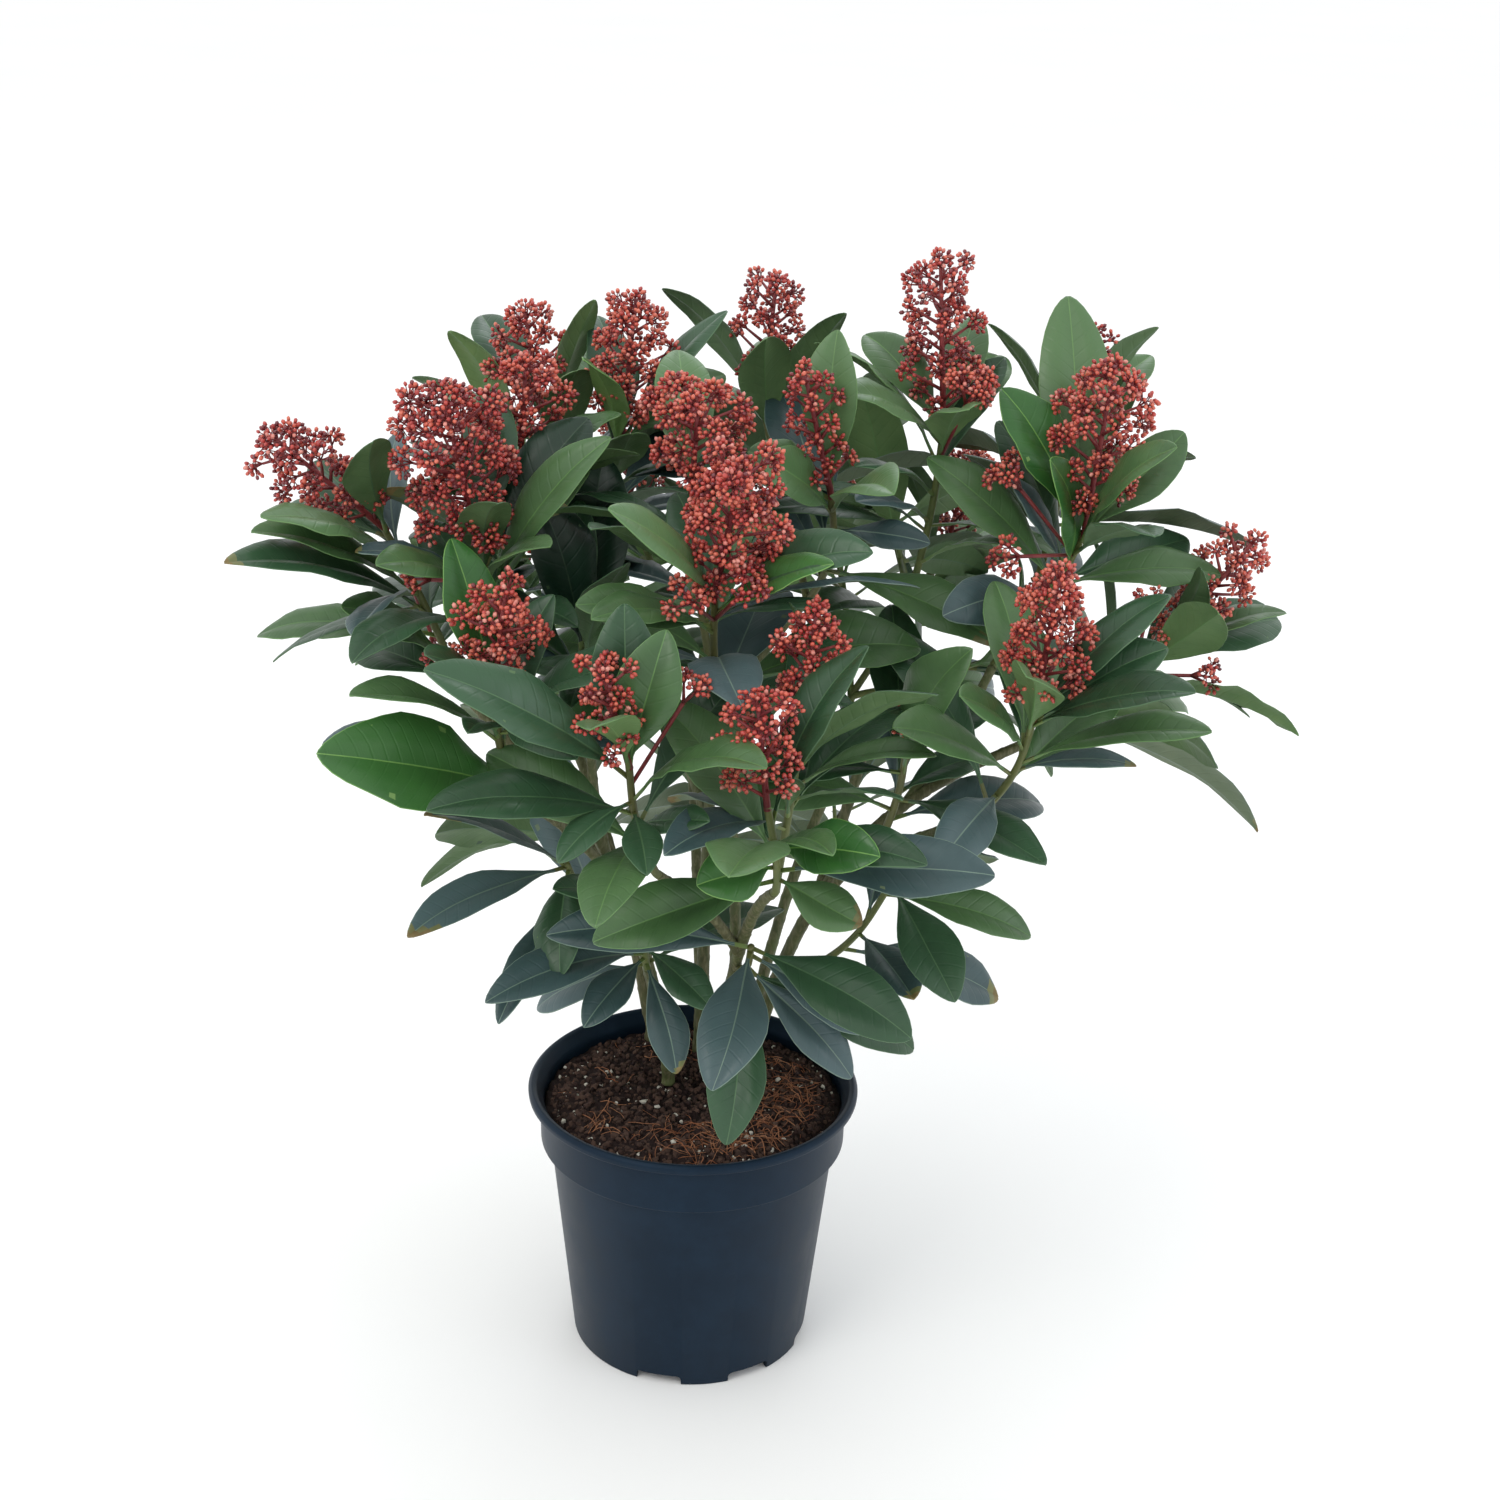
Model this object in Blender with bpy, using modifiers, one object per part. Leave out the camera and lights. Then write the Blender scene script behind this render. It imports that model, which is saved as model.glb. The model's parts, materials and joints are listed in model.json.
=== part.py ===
"""A potted skimmia: an evergreen shrub with red flower buds, in a black nursery pot.

Metres, +Z up. The origin is the middle of the pot's flat underside, +X is the plant's
right and +Y its back. Every stem, bough and mass of foliage is a solid of its own, and
neighbours stand 0.3 mm clear of each other.
"""

import math
import random
from typing import NamedTuple

import bmesh
import bpy
from mathutils import Matrix, Vector
from mathutils.bvhtree import BVHTree

# The gap that neighbours keep
GAP = 0.0003

# A 17 cm nursery pot: a foot ring and a flat middle to stand on, a collar and a rolled lip
POT_HEIGHT = 0.144
LIP_RADIUS = 0.085
LIP_DEPTH = 0.005
LIP_ROUNDING = 0.0015
COLLAR_RADIUS = 0.0785
COLLAR_HEIGHT = 0.025
BODY_TOP_RADIUS = 0.0735
FOOT_RADIUS = 0.0615
FOOT_RING_WIDTH = 0.0032
CHANNEL_INNER_RADIUS = 0.042
CHANNEL_HEIGHT = 0.006
WALL = 0.0016
FLOOR_THICKNESS = 0.003
POT_STEPS = 32
NOTCH_HEIGHT = 0.0053
NOTCH_TURN = math.radians(22)
NOTCH_PITCH = math.radians(45)
FIRST_NOTCH_TURN = math.radians(-15)
NOTCH_COUNT = 7
DRAIN_COUNT = 6
DRAIN_RADIUS = 0.004
DRAIN_SIDES = 6

# The potting soil, level where the stems leave it and sunk a little towards the wall
SOIL_TOP = 0.136
SOIL_EDGE_DROP = 0.003
SOIL_LEVEL_RADIUS = 0.055


class Stem(NamedTuple):
    """A limb that rises from the soil."""

    foot: tuple
    tip: tuple
    foot_radius: float
    tip_radius: float


class Bough(NamedTuple):
    """A limb that leaves its parent some way along it."""

    parent: str
    leaves_at: float
    tip: tuple
    foot_radius: float
    tip_radius: float


class Shoot(NamedTuple):
    """A leafy twig of one mass, up to its head, and the panicle of buds from there to the tip."""

    mass: str
    head: tuple
    tip: tuple
    bloom_width: float
    leaves: int
    sag: float = 0.18


class Spray(NamedTuple):
    """A small bunch of buds on a thin stalk of its own."""

    shoot: str
    centre: tuple
    width: float


STEMS = {
    "stem_left": Stem((-0.014, 0.038), (-0.046, -0.006, 0.276), 0.0035, 0.0028),
    "stem_front_left": Stem((-0.013, 0.010), (-0.024, -0.027, 0.222), 0.0027, 0.0020),
    "stem_front": Stem((0.012, 0.010), (0.022, -0.046, 0.246), 0.0033, 0.0028),
    "stem_right": Stem((0.030, 0.034), (0.070, 0.004, 0.262), 0.0037, 0.0031),
    "stem_middle": Stem((0.004, 0.046), (0.006, 0.034, 0.296), 0.0035, 0.0029),
    "stem_back_left": Stem((-0.022, 0.058), (-0.066, 0.098, 0.292), 0.0032, 0.0025),
    "stem_back": Stem((0.004, 0.072), (-0.004, 0.122, 0.288), 0.0031, 0.0025),
    "stem_back_right": Stem((0.030, 0.062), (0.080, 0.098, 0.290), 0.0032, 0.0025),
}
STEM_LEAN = 0.35
STEM_BEND = 0.6
FLARE = 0.35
FLARE_HEIGHT = 0.010
FLARE_RISES = (0.04, 0.10)
FLARE_END = 0.2

BOUGHS = {
    "bough_left": Bough("stem_left", 1.0, (-0.086, -0.034, 0.362), 0.0030, 0.0024),
    "bough_far_left": Bough("stem_left", 0.92, (-0.112, -0.012, 0.358), 0.0028, 0.0022),
    "bough_left_front": Bough("stem_left", 0.78, (-0.076, -0.070, 0.326), 0.0027, 0.0021),
    "bough_front": Bough("stem_front", 1.0, (0.034, -0.108, 0.302), 0.0029, 0.0023),
    "bough_front_left": Bough("stem_front", 0.90, (-0.018, -0.104, 0.308), 0.0026, 0.0021),
    "bough_middle_left": Bough("stem_left", 0.97, (-0.052, -0.030, 0.340), 0.0025, 0.0022),
    "bough_middle": Bough("stem_front", 0.78, (0.012, -0.052, 0.352), 0.0027, 0.0023),
    "bough_right": Bough("stem_right", 1.0, (0.158, 0.006, 0.330), 0.0032, 0.0024),
    "bough_right_front": Bough("stem_right", 0.90, (0.122, -0.052, 0.312), 0.0027, 0.0022),
    "bough_right_upper": Bough("bough_right", 0.42, (0.144, 0.024, 0.364), 0.0026, 0.0022),
    "bough_right_middle": Bough("stem_right", 0.66, (0.088, -0.036, 0.300), 0.0025, 0.0021),
    "bough_top_right": Bough("stem_right", 0.80, (0.094, 0.024, 0.374), 0.0028, 0.0023),
    "bough_top_middle": Bough("stem_middle", 1.0, (0.040, 0.040, 0.376), 0.0030, 0.0023),
    "bough_top_left": Bough("stem_middle", 0.85, (-0.040, 0.052, 0.368), 0.0027, 0.0022),
}
LIMB_JOINTS = 4
LIMB_FIRST_RUN = 0.006
LIMB_CLEARANCE = 0.0005
LIMB_ROUNDNESS = 1
BARK_COLOUR = (0.085, 0.082, 0.035)

# Each mass of foliage: the limb that it grows on, and how far along that limb. Its object is
# named foliage_ and then its name.
MASSES = {
    "far_left": ("bough_far_left", 1.0),
    "left": ("bough_left", 1.0),
    "left_front": ("bough_left_front", 1.0),
    "top_left": ("bough_top_left", 1.0),
    "middle": ("bough_middle", 1.0),
    "middle_left": ("bough_middle_left", 1.0),
    "front_left": ("bough_front_left", 1.0),
    "front": ("bough_front", 1.0),
    "top_middle": ("bough_top_middle", 1.0),
    "top_right": ("bough_top_right", 1.0),
    "right_middle": ("bough_right_middle", 1.0),
    "right_upper": ("bough_right_upper", 1.0),
    "right_front": ("bough_right_front", 1.0),
    "far_right": ("bough_right", 1.0),
    "back_left": ("stem_back_left", 1.0),
    "back": ("stem_back", 1.0),
    "back_right": ("stem_back_right", 1.0),
    "low_left": ("stem_left", 0.60),
    "low_front_left": ("stem_front_left", 1.0),
    "low_front": ("stem_front", 0.84),
    "low_right": ("stem_right", 0.50),
    "low_back_left": ("stem_back_left", 0.62),
    "low_back": ("stem_back", 0.62),
    "low_back_right": ("stem_back_right", 0.62),
}

# How much further than the others the oldest and lowest leaves hang down
OLD_SAG = 0.34

SHOOTS = {
    "far_left": Shoot("far_left", (-0.147, -0.020, 0.443), (-0.199, -0.030, 0.492), 0.042, 5),
    "left": Shoot("left", (-0.101, -0.040, 0.435), (-0.116, -0.060, 0.523), 0.054, 7),
    "left_upper": Shoot("left", (-0.086, 0.004, 0.462), (-0.082, -0.004, 0.522), 0.042, 7),
    "left_front": Shoot("left_front", (-0.091, -0.100, 0.392), (-0.084, -0.120, 0.448), 0.040, 8),
    "top_left": Shoot("top_left", (-0.040, 0.050, 0.469), (-0.033, 0.050, 0.542), 0.044, 8),
    "left_back": Shoot("top_left", (-0.079, 0.084, 0.468), (-0.090, 0.088, 0.529), 0.038, 9),
    "middle": Shoot("middle", (0.005, -0.080, 0.431), (0.015, -0.100, 0.499), 0.052, 7),
    "middle_upper": Shoot("middle", (-0.006, -0.030, 0.462), (-0.003, -0.040, 0.517), 0.050, 7),
    "middle_left": Shoot("middle_left", (-0.056, -0.030, 0.392), (-0.058, -0.034, 0.402), 0.0, 6),
    "right_middle": Shoot("right_middle", (0.096, -0.052, 0.352), (0.100, -0.056, 0.380), 0.022, 7),
    "front_left": Shoot("front_left", (-0.031, -0.140, 0.376), (-0.043, -0.155, 0.428), 0.034, 7),
    "front": Shoot("front", (0.028, -0.150, 0.362), (0.022, -0.160, 0.417), 0.036, 6),
    "front_middle": Shoot("front", (0.044, -0.110, 0.383), (0.048, -0.120, 0.443), 0.037, 7),
    "middle_right": Shoot("top_middle", (0.059, -0.010, 0.460), (0.043, -0.020, 0.525), 0.030, 7),
    "top_middle": Shoot("top_middle", (0.029, 0.086, 0.478), (0.035, 0.090, 0.545), 0.040, 8),
    "top_right": Shoot("top_right", (0.114, 0.030, 0.482), (0.108, 0.030, 0.567), 0.041, 8),
    "shaded": Shoot("top_right", (0.090, 0.108, 0.432), (0.083, 0.112, 0.477), 0.026, 7),
    "right_upper": Shoot("right_upper", (0.180, 0.000, 0.440), (0.188, -0.004, 0.527), 0.048, 6),
    "right_back": Shoot("right_upper", (0.182, 0.076, 0.468), (0.194, 0.086, 0.523), 0.032, 7),
    "right_front": Shoot("right_front", (0.150, -0.080, 0.377), (0.154, -0.100, 0.457), 0.041, 8),
    "far_right": Shoot("far_right", (0.221, 0.020, 0.371), (0.270, 0.020, 0.437), 0.037, 9),
    "back_left": Shoot("back_left", (-0.108, 0.104, 0.392), (-0.130, 0.118, 0.442), 0.038, 8),
    "back_left_low": Shoot("back_left", (-0.082, 0.160, 0.366), (-0.098, 0.184, 0.418), 0.036, 7),
    "back": Shoot("back", (0.012, 0.166, 0.388), (0.010, 0.186, 0.442), 0.040, 8),
    "back_upper": Shoot("back", (-0.036, 0.142, 0.404), (-0.044, 0.156, 0.458), 0.036, 7),
    "back_right": Shoot("back_right", (0.072, 0.162, 0.392), (0.080, 0.182, 0.448), 0.040, 8),
    "back_right_upper": Shoot("back_right", (0.130, 0.136, 0.390), (0.146, 0.154, 0.444), 0.038, 7),
    "back_right_low": Shoot("back_right", (0.156, 0.090, 0.346), (0.186, 0.104, 0.390), 0.030, 7),
    "low_left": Shoot("low_left", (-0.064, -0.022, 0.276), (-0.070, -0.026, 0.284), 0.0, 2, OLD_SAG),
    "low_front_left": Shoot(
        "low_front_left", (-0.026, -0.034, 0.240), (-0.027, -0.036, 0.246), 0.0, 2, OLD_SAG
    ),
    "low_front": Shoot("low_front", (0.026, -0.058, 0.250), (0.027, -0.062, 0.256), 0.0, 2, OLD_SAG),
    "low_right": Shoot("low_right", (0.096, -0.020, 0.268), (0.102, -0.024, 0.275), 0.0, 3, OLD_SAG),
    "low_back_left": Shoot(
        "low_back_left", (-0.070, 0.110, 0.262), (-0.076, 0.114, 0.270), 0.0, 7, OLD_SAG
    ),
    "low_back": Shoot("low_back", (0.008, 0.136, 0.254), (0.010, 0.142, 0.260), 0.0, 7, OLD_SAG),
    "low_back_right": Shoot(
        "low_back_right", (0.086, 0.112, 0.262), (0.092, 0.116, 0.270), 0.0, 7, OLD_SAG
    ),
}

SPRAYS = [
    Spray("far_left", (-0.163, -0.012, 0.424), 0.020),
    Spray("far_left", (-0.126, -0.004, 0.380), 0.022),
    Spray("left", (-0.128, -0.052, 0.429), 0.018),
    Spray("middle", (-0.008, -0.112, 0.441), 0.024),
    Spray("middle", (0.018, -0.112, 0.446), 0.022),
    Spray("front_left", (-0.005, -0.142, 0.411), 0.022),
    Spray("top_right", (0.124, 0.008, 0.506), 0.030),
    Spray("right_upper", (0.143, -0.002, 0.468), 0.028),
    Spray("right_upper", (0.142, -0.022, 0.435), 0.024),
    Spray("far_right", (0.244, 0.000, 0.370), 0.022),
    Spray("far_right", (0.214, -0.002, 0.408), 0.018),
]

# The leaves that show best: the shoot, how far up its twig the leaf stands, where its tip is
# from its foot, and its width
SHOWN_LEAVES = [
    ("far_left", 0.50, (-0.080, -0.062, 0.044), 0.032),
    ("far_left", 0.62, (-0.064, -0.050, 0.046), 0.030),
    ("far_left", 0.80, (-0.052, -0.060, 0.040), 0.030),
    ("far_left", 0.95, (-0.061, 0.044, -0.004), 0.026),
    ("far_left", 0.36, (-0.092, 0.030, -0.010), 0.024),
    ("far_left", 0.20, (-0.044, -0.036, 0.040), 0.028),
    ("far_left", 0.08, (-0.056, 0.050, 0.004), 0.027),
    ("far_left", 1.00, (-0.041, 0.053, 0.019), 0.024),
    ("left_front", 0.95, (-0.024, -0.041, 0.037), 0.028),
    ("left_front", 0.12, (-0.082, -0.072, 0.050), 0.044),
    ("left", 0.66, (-0.040, -0.064, 0.044), 0.028),
    ("left", 0.84, (0.032, -0.043, 0.032), 0.026),
    ("left", 0.92, (0.038, 0.036, 0.066), 0.032),
    ("left", 0.70, (0.044, -0.041, 0.069), 0.026),
    ("middle_left", 0.70, (0.006, 0.052, 0.092), 0.038),
    ("middle_left", 0.90, (-0.020, -0.010, 0.080), 0.032),
    ("left_upper", 1.00, (0.036, -0.026, 0.041), 0.024),
    ("top_left", 0.75, (0.011, -0.044, 0.040), 0.026),
    ("top_left", 1.00, (0.050, 0.019, 0.033), 0.026),
    ("middle", 0.96, (-0.047, -0.052, 0.048), 0.026),
    ("middle", 0.25, (0.022, 0.076, 0.036), 0.040),
    ("middle", 0.80, (-0.059, -0.030, 0.021), 0.024),
    ("middle", 0.90, (0.049, -0.038, 0.036), 0.022),
    ("top_middle", 0.80, (-0.006, -0.040, 0.063), 0.028),
    ("top_middle", 0.95, (0.042, 0.050, 0.027), 0.026),
    ("middle_right", 0.96, (-0.036, -0.014, 0.049), 0.028),
    ("middle_right", 0.88, (-0.034, -0.038, 0.035), 0.026),
    ("top_right", 1.00, (-0.036, 0.036, 0.042), 0.026),
    ("top_right", 0.94, (-0.040, -0.038, 0.044), 0.030),
    ("top_right", 0.88, (0.013, -0.049, 0.042), 0.028),
    ("top_right", 0.95, (0.033, 0.063, 0.031), 0.030),
    ("right_upper", 0.98, (-0.051, 0.005, 0.061), 0.032),
    ("right_upper", 0.92, (-0.006, 0.045, 0.110), 0.036),
    ("right_upper", 1.00, (0.038, 0.022, 0.061), 0.034),
    ("right_upper", 0.94, (0.026, -0.060, 0.064), 0.028),
    ("right_upper", 0.74, (-0.014, -0.034, 0.062), 0.034),
    ("right_upper", 0.60, (-0.064, 0.000, 0.064), 0.028),
    ("right_upper", 0.65, (0.070, 0.042, 0.010), 0.032),
    ("right_back", 1.00, (0.046, 0.042, 0.036), 0.024),
    ("right_front", 1.00, (0.034, -0.035, 0.057), 0.028),
    ("right_front", 0.95, (0.053, -0.053, 0.045), 0.028),
    ("right_front", 0.78, (-0.034, -0.040, 0.046), 0.028),
    ("right_middle", 0.70, (0.030, -0.030, 0.070), 0.030),
    ("far_right", 0.95, (0.019, -0.035, 0.060), 0.022),
    ("far_right", 1.00, (0.074, 0.038, 0.012), 0.030),
    ("far_right", 0.55, (0.012, -0.045, 0.038), 0.028),
    ("front_left", 0.90, (-0.082, -0.030, 0.060), 0.032),
    ("front_left", 1.00, (0.014, -0.006, 0.064), 0.028),
    ("front", 0.65, (0.041, -0.040, 0.016), 0.026),
    ("front", 0.45, (-0.034, -0.022, 0.002), 0.026),
    ("front", 0.30, (0.036, -0.024, -0.010), 0.022),
    ("low_left", 1.00, (-0.070, -0.068, -0.004), 0.022),
    ("low_left", 0.80, (-0.034, -0.068, -0.040), 0.018),
    ("low_left", 0.95, (-0.002, -0.054, -0.030), 0.027),
    ("low_front_left", 0.60, (-0.074, -0.050, 0.004), 0.024),
    ("low_front_left", 0.45, (-0.028, -0.044, -0.014), 0.020),
    ("low_front_left", 0.20, (-0.056, 0.020, -0.036), 0.022),
    ("low_front_left", 0.80, (0.034, -0.030, -0.018), 0.020),
    ("low_front_left", 0.30, (0.016, -0.034, -0.044), 0.020),
    ("low_front", 1.00, (-0.096, -0.020, 0.016), 0.026),
    ("low_front", 0.92, (-0.018, -0.070, -0.036), 0.032),
    ("low_front", 0.15, (-0.007, -0.056, -0.064), 0.028),
    ("low_front", 0.98, (0.074, -0.046, -0.022), 0.032),
    ("low_front", 0.80, (0.060, -0.010, -0.036), 0.024),
    ("low_front", 0.45, (0.052, -0.020, -0.050), 0.024),
    ("low_right", 0.60, (0.024, -0.052, -0.010), 0.026),
    ("low_right", 1.00, (0.028, -0.062, -0.030), 0.030),
    ("low_right", 0.90, (0.074, -0.004, -0.020), 0.024),
]

# Twigs: where a second shoot forks from the first, and how thick they are
FORK_AT = 0.22
TWIG_RADIUS = 0.0021
HEAD_RADIUS = 0.0017
BLOOM_TIP_RADIUS = 0.0009
SPRAY_STALK_RADIUS = 0.0010
TWIG_JOINTS = 3
TWIG_FIRST_RUN = 0.003
GOLDEN_TURN = math.radians(137.5)

# Leaves: the lowest on a shoot are long and spread wide, the highest short and upright
LOW_LEAF_LENGTH = 0.100
HIGH_LEAF_LENGTH = 0.078
LEAF_SLENDERNESS = 0.34
LEAF_THICKNESS = 0.0008
LEAF_FOLD = 0.09
LEAF_ARCH = 0.07
LEAFY_RUN = 0.055
LEAFY_PART = 0.8
HIGHEST_LEAF_GAP = 0.04
HIGHEST_LEAF = 0.97
LOW_LEAF_SPREAD = math.radians(80)
HIGH_LEAF_SPREAD = math.radians(30)
LEAF_TURN_STRAY = 7
LEAF_SPREAD_STRAY = 5
LEAF_SIZES = (0.9, 1.1)
LEAF_SHRINK = 0.03
SAG_REACH = 1.2
SAG_LIMIT = 1.3
LEAF_STATIONS = (0.36, 0.72)
LEAF_TRIES = 9
SHOWN_LEAF_TRIES = 12
LEAF_CLEARANCE = 0.0005
TIP_SPACING = 0.014
PETIOLE = 0.09
# A blade's outline: how late it is widest, and how fast it narrows to its stalk and to its end
WIDEST_LATE = 1.35
WEDGE_POWER = 0.95
END_POWER = 0.62
LEAF_COLOUR = (0.028, 0.085, 0.026)

# The leaves that show best face this way as well as up their twigs
SHOWN_FACE = (0.0, -0.7, 0.4)
SHOWN_STRAY = 0.0025
SHOWN_SHRINK = 0.01

# Under the front of the crown the stems show: in front of this y, spiral leaves keep above this z
OPEN_BEFORE = -0.150
OPEN_BELOW = 0.330

# Panicles: branches of packed buds round a stalk, each widening towards its outer end
BLOOM_BRANCH_PITCH = 0.0175
BLOOM_BRANCH_RISE = 0.65
BLOOM_FIRST_AT = 0.08
BLOOM_LAST_AT = 0.84
BLOOM_TOP_FROM = 0.78
BLOOM_POD_RADIUS = 0.22
BLOOM_FULLNESS = (0.30, 0.86)
BLOOM_SPREADS = (0.85, 1.1)
BUD_FULLEST_AT = 0.66
BUD_COLOUR = (0.42, 0.045, 0.035)

# Sprays: where a stalk leaves its twig, and the bunch's length and radius as parts of its width
SPRAY_LEAVES_AT = 0.85
SPRAY_HALF_LENGTH = 0.52
SPRAY_POD_RADIUS = 0.45

SMOOTH_UP_TO = math.radians(40)


def bezier(start, bend, end, t):
    """The point at t on a curve that leaves start towards bend and reaches end from it."""
    return start * (1 - t) ** 2 + bend * (2 * t * (1 - t)) + end * t**2


def mix(low, high, t):
    return low + (high - low) * t


def finish(name, colour, roughness):
    """A plain material of one colour."""
    material = bpy.data.materials.new(name)
    material.use_nodes = True
    shader = material.node_tree.nodes["Principled BSDF"]
    shader.inputs["Base Color"].default_value = (*colour, 1.0)
    shader.inputs["Roughness"].default_value = roughness
    shader.inputs["Metallic"].default_value = 0.0
    return material


def put_in(collection, name, shape, materials):
    """Makes an object of a bmesh and frees the bmesh."""
    mesh = bpy.data.meshes.new(name)
    shape.to_mesh(mesh)
    shape.free()
    for material in materials:
        mesh.materials.append(material)
    obj = bpy.data.objects.new(name, mesh)
    collection.objects.link(obj)
    return obj


def keep_largest_piece(shape):
    """Drops loose scraps and the skins of sealed hollows from a bmesh."""
    unseen = set(shape.verts)
    pieces = []
    while unseen:
        first = unseen.pop()
        piece = {first}
        edge_of_piece = [first]
        while edge_of_piece:
            corner = edge_of_piece.pop()
            for edge in corner.link_edges:
                other = edge.other_vert(corner)
                if other in unseen:
                    unseen.remove(other)
                    piece.add(other)
                    edge_of_piece.append(other)
        pieces.append(piece)
    pieces.sort(key=len)
    scraps = [corner for piece in pieces[:-1] for corner in piece]
    bmesh.ops.delete(shape, geom=scraps, context="VERTS")


def apply_modifiers(obj):
    """Replaces an object's mesh by what its modifiers make of it, as one piece."""
    bpy.context.view_layer.update()
    graph = bpy.context.evaluated_depsgraph_get()
    made = bpy.data.meshes.new_from_object(obj.evaluated_get(graph))
    obj.modifiers.clear()
    shape = bmesh.new()
    shape.from_mesh(made)
    keep_largest_piece(shape)
    shape.to_mesh(made)
    shape.free()
    old = obj.data
    made.name = obj.name
    obj.data = made
    bpy.data.meshes.remove(old)


def add_boolean(obj, operation, cutter):
    modifier = obj.modifiers.new(f"{operation.lower()} {cutter.name}", "BOOLEAN")
    modifier.operation = operation
    modifier.object = cutter


def turned(name, collection, outline, steps, material):
    """A closed outline of (radius, height) corners, turned round the upright axis."""
    shape = bmesh.new()
    corners = [shape.verts.new((radius, 0.0, height)) for radius, height in outline]
    for one, other in zip(corners, corners[1:]):
        shape.edges.new((one, other))
    obj = put_in(collection, name, shape, [material])
    screw = obj.modifiers.new("turn", "SCREW")
    screw.steps = screw.render_steps = steps
    screw.use_merge_vertices = True
    screw.merge_threshold = 0.00001
    return obj


def body_radius(height):
    """The pot's outer radius below its collar."""
    return mix(FOOT_RADIUS, BODY_TOP_RADIUS, height / (POT_HEIGHT - LIP_DEPTH - COLLAR_HEIGHT))


def make_pot(collection, cutters):
    collar_top = POT_HEIGHT - LIP_DEPTH
    collar_bottom = collar_top - COLLAR_HEIGHT
    channel_outer = FOOT_RADIUS - FOOT_RING_WIDTH
    floor_top = CHANNEL_HEIGHT + FLOOR_THICKNESS
    outline = [
        (0.0, floor_top),
        (body_radius(floor_top) - WALL, floor_top),
        (body_radius(collar_bottom) - WALL, collar_bottom + WALL),
        (COLLAR_RADIUS - WALL, collar_bottom + 2 * WALL),
        (LIP_RADIUS - 3 * LIP_ROUNDING, POT_HEIGHT - LIP_ROUNDING),
        (LIP_RADIUS - LIP_ROUNDING, POT_HEIGHT),
        (LIP_RADIUS, POT_HEIGHT - LIP_ROUNDING),
        (LIP_RADIUS, collar_top),
        (COLLAR_RADIUS, collar_top),
        (COLLAR_RADIUS, collar_bottom),
        (body_radius(collar_bottom), collar_bottom - WALL),
        (FOOT_RADIUS, 0.0),
        (channel_outer, 0.0),
        (channel_outer, CHANNEL_HEIGHT),
        (CHANNEL_INNER_RADIUS, CHANNEL_HEIGHT),
        (CHANNEL_INNER_RADIUS, 0.0),
        (0.0, 0.0),
    ]
    plastic = finish("black plastic", (0.018, 0.024, 0.034), 0.42)
    pot = turned("pot", collection, outline, POT_STEPS, plastic)

    notch_length = FOOT_RADIUS * NOTCH_TURN
    for number in range(NOTCH_COUNT):
        turn = FIRST_NOTCH_TURN + number * NOTCH_PITCH
        outward = Vector((math.sin(turn), -math.cos(turn), 0.0))
        shape = bmesh.new()
        place = Matrix.Translation(outward * (FOOT_RADIUS - FOOT_RING_WIDTH / 2))
        place @= Matrix.Rotation(turn, 4, "Z")
        place @= Matrix.Diagonal((notch_length, 3 * FOOT_RING_WIDTH, 2 * NOTCH_HEIGHT, 1.0))
        bmesh.ops.create_cube(shape, size=1.0, matrix=place)
        add_boolean(pot, "DIFFERENCE", put_in(cutters, f"notch_{number}", shape, []))

    drain_circle = (channel_outer + CHANNEL_INNER_RADIUS) / 2
    for number in range(DRAIN_COUNT):
        turn = math.tau * number / DRAIN_COUNT
        shape = bmesh.new()
        place = Matrix.Translation(
            (drain_circle * math.cos(turn), drain_circle * math.sin(turn), floor_top)
        )
        bmesh.ops.create_cone(
            shape,
            cap_ends=True,
            segments=DRAIN_SIDES,
            radius1=DRAIN_RADIUS,
            radius2=DRAIN_RADIUS,
            depth=4 * FLOOR_THICKNESS,
            matrix=place,
        )
        add_boolean(pot, "DIFFERENCE", put_in(cutters, f"drain_{number}", shape, []))
    apply_modifiers(pot)
    return pot


def make_soil(collection):
    collar_bottom = POT_HEIGHT - LIP_DEPTH - COLLAR_HEIGHT
    floor_top = CHANNEL_HEIGHT + FLOOR_THICKNESS
    inside = WALL + 2 * GAP
    outline = [
        (0.0, SOIL_TOP),
        (SOIL_LEVEL_RADIUS, SOIL_TOP),
        (COLLAR_RADIUS - inside, SOIL_TOP - SOIL_EDGE_DROP),
        (COLLAR_RADIUS - inside, collar_bottom + 3 * WALL),
        (body_radius(collar_bottom) - inside, collar_bottom + WALL),
        (body_radius(floor_top) - inside, floor_top + GAP),
        (0.0, floor_top + GAP),
    ]
    peat = finish("damp peat", (0.035, 0.022, 0.015), 0.95)
    soil = turned("potting_soil", collection, outline, POT_STEPS, peat)
    apply_modifiers(soil)
    return soil


def round_limb(name, collection, places, radii, roundness, material):
    """A limb along the given places, with flat ends square to its first and last run."""
    curve = bpy.data.curves.new(name, "CURVE")
    curve.dimensions = "3D"
    curve.bevel_depth = 1.0
    curve.bevel_resolution = roundness
    curve.use_fill_caps = True
    spline = curve.splines.new("POLY")
    spline.points.add(len(places) - 1)
    for knot, place, radius in zip(spline.points, places, radii):
        knot.co = (*place, 1.0)
        knot.radius = radius
    tube = bpy.data.objects.new(name, curve)
    collection.objects.link(tube)
    bpy.context.view_layer.update()
    graph = bpy.context.evaluated_depsgraph_get()
    made = bpy.data.meshes.new_from_object(tube.evaluated_get(graph))
    bpy.data.objects.remove(tube)
    bpy.data.curves.remove(curve)
    shape = bmesh.new()
    shape.from_mesh(made)
    bpy.data.meshes.remove(made)
    bmesh.ops.remove_doubles(shape, verts=shape.verts, dist=0.000001)
    return put_in(collection, name, shape, [material])


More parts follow.
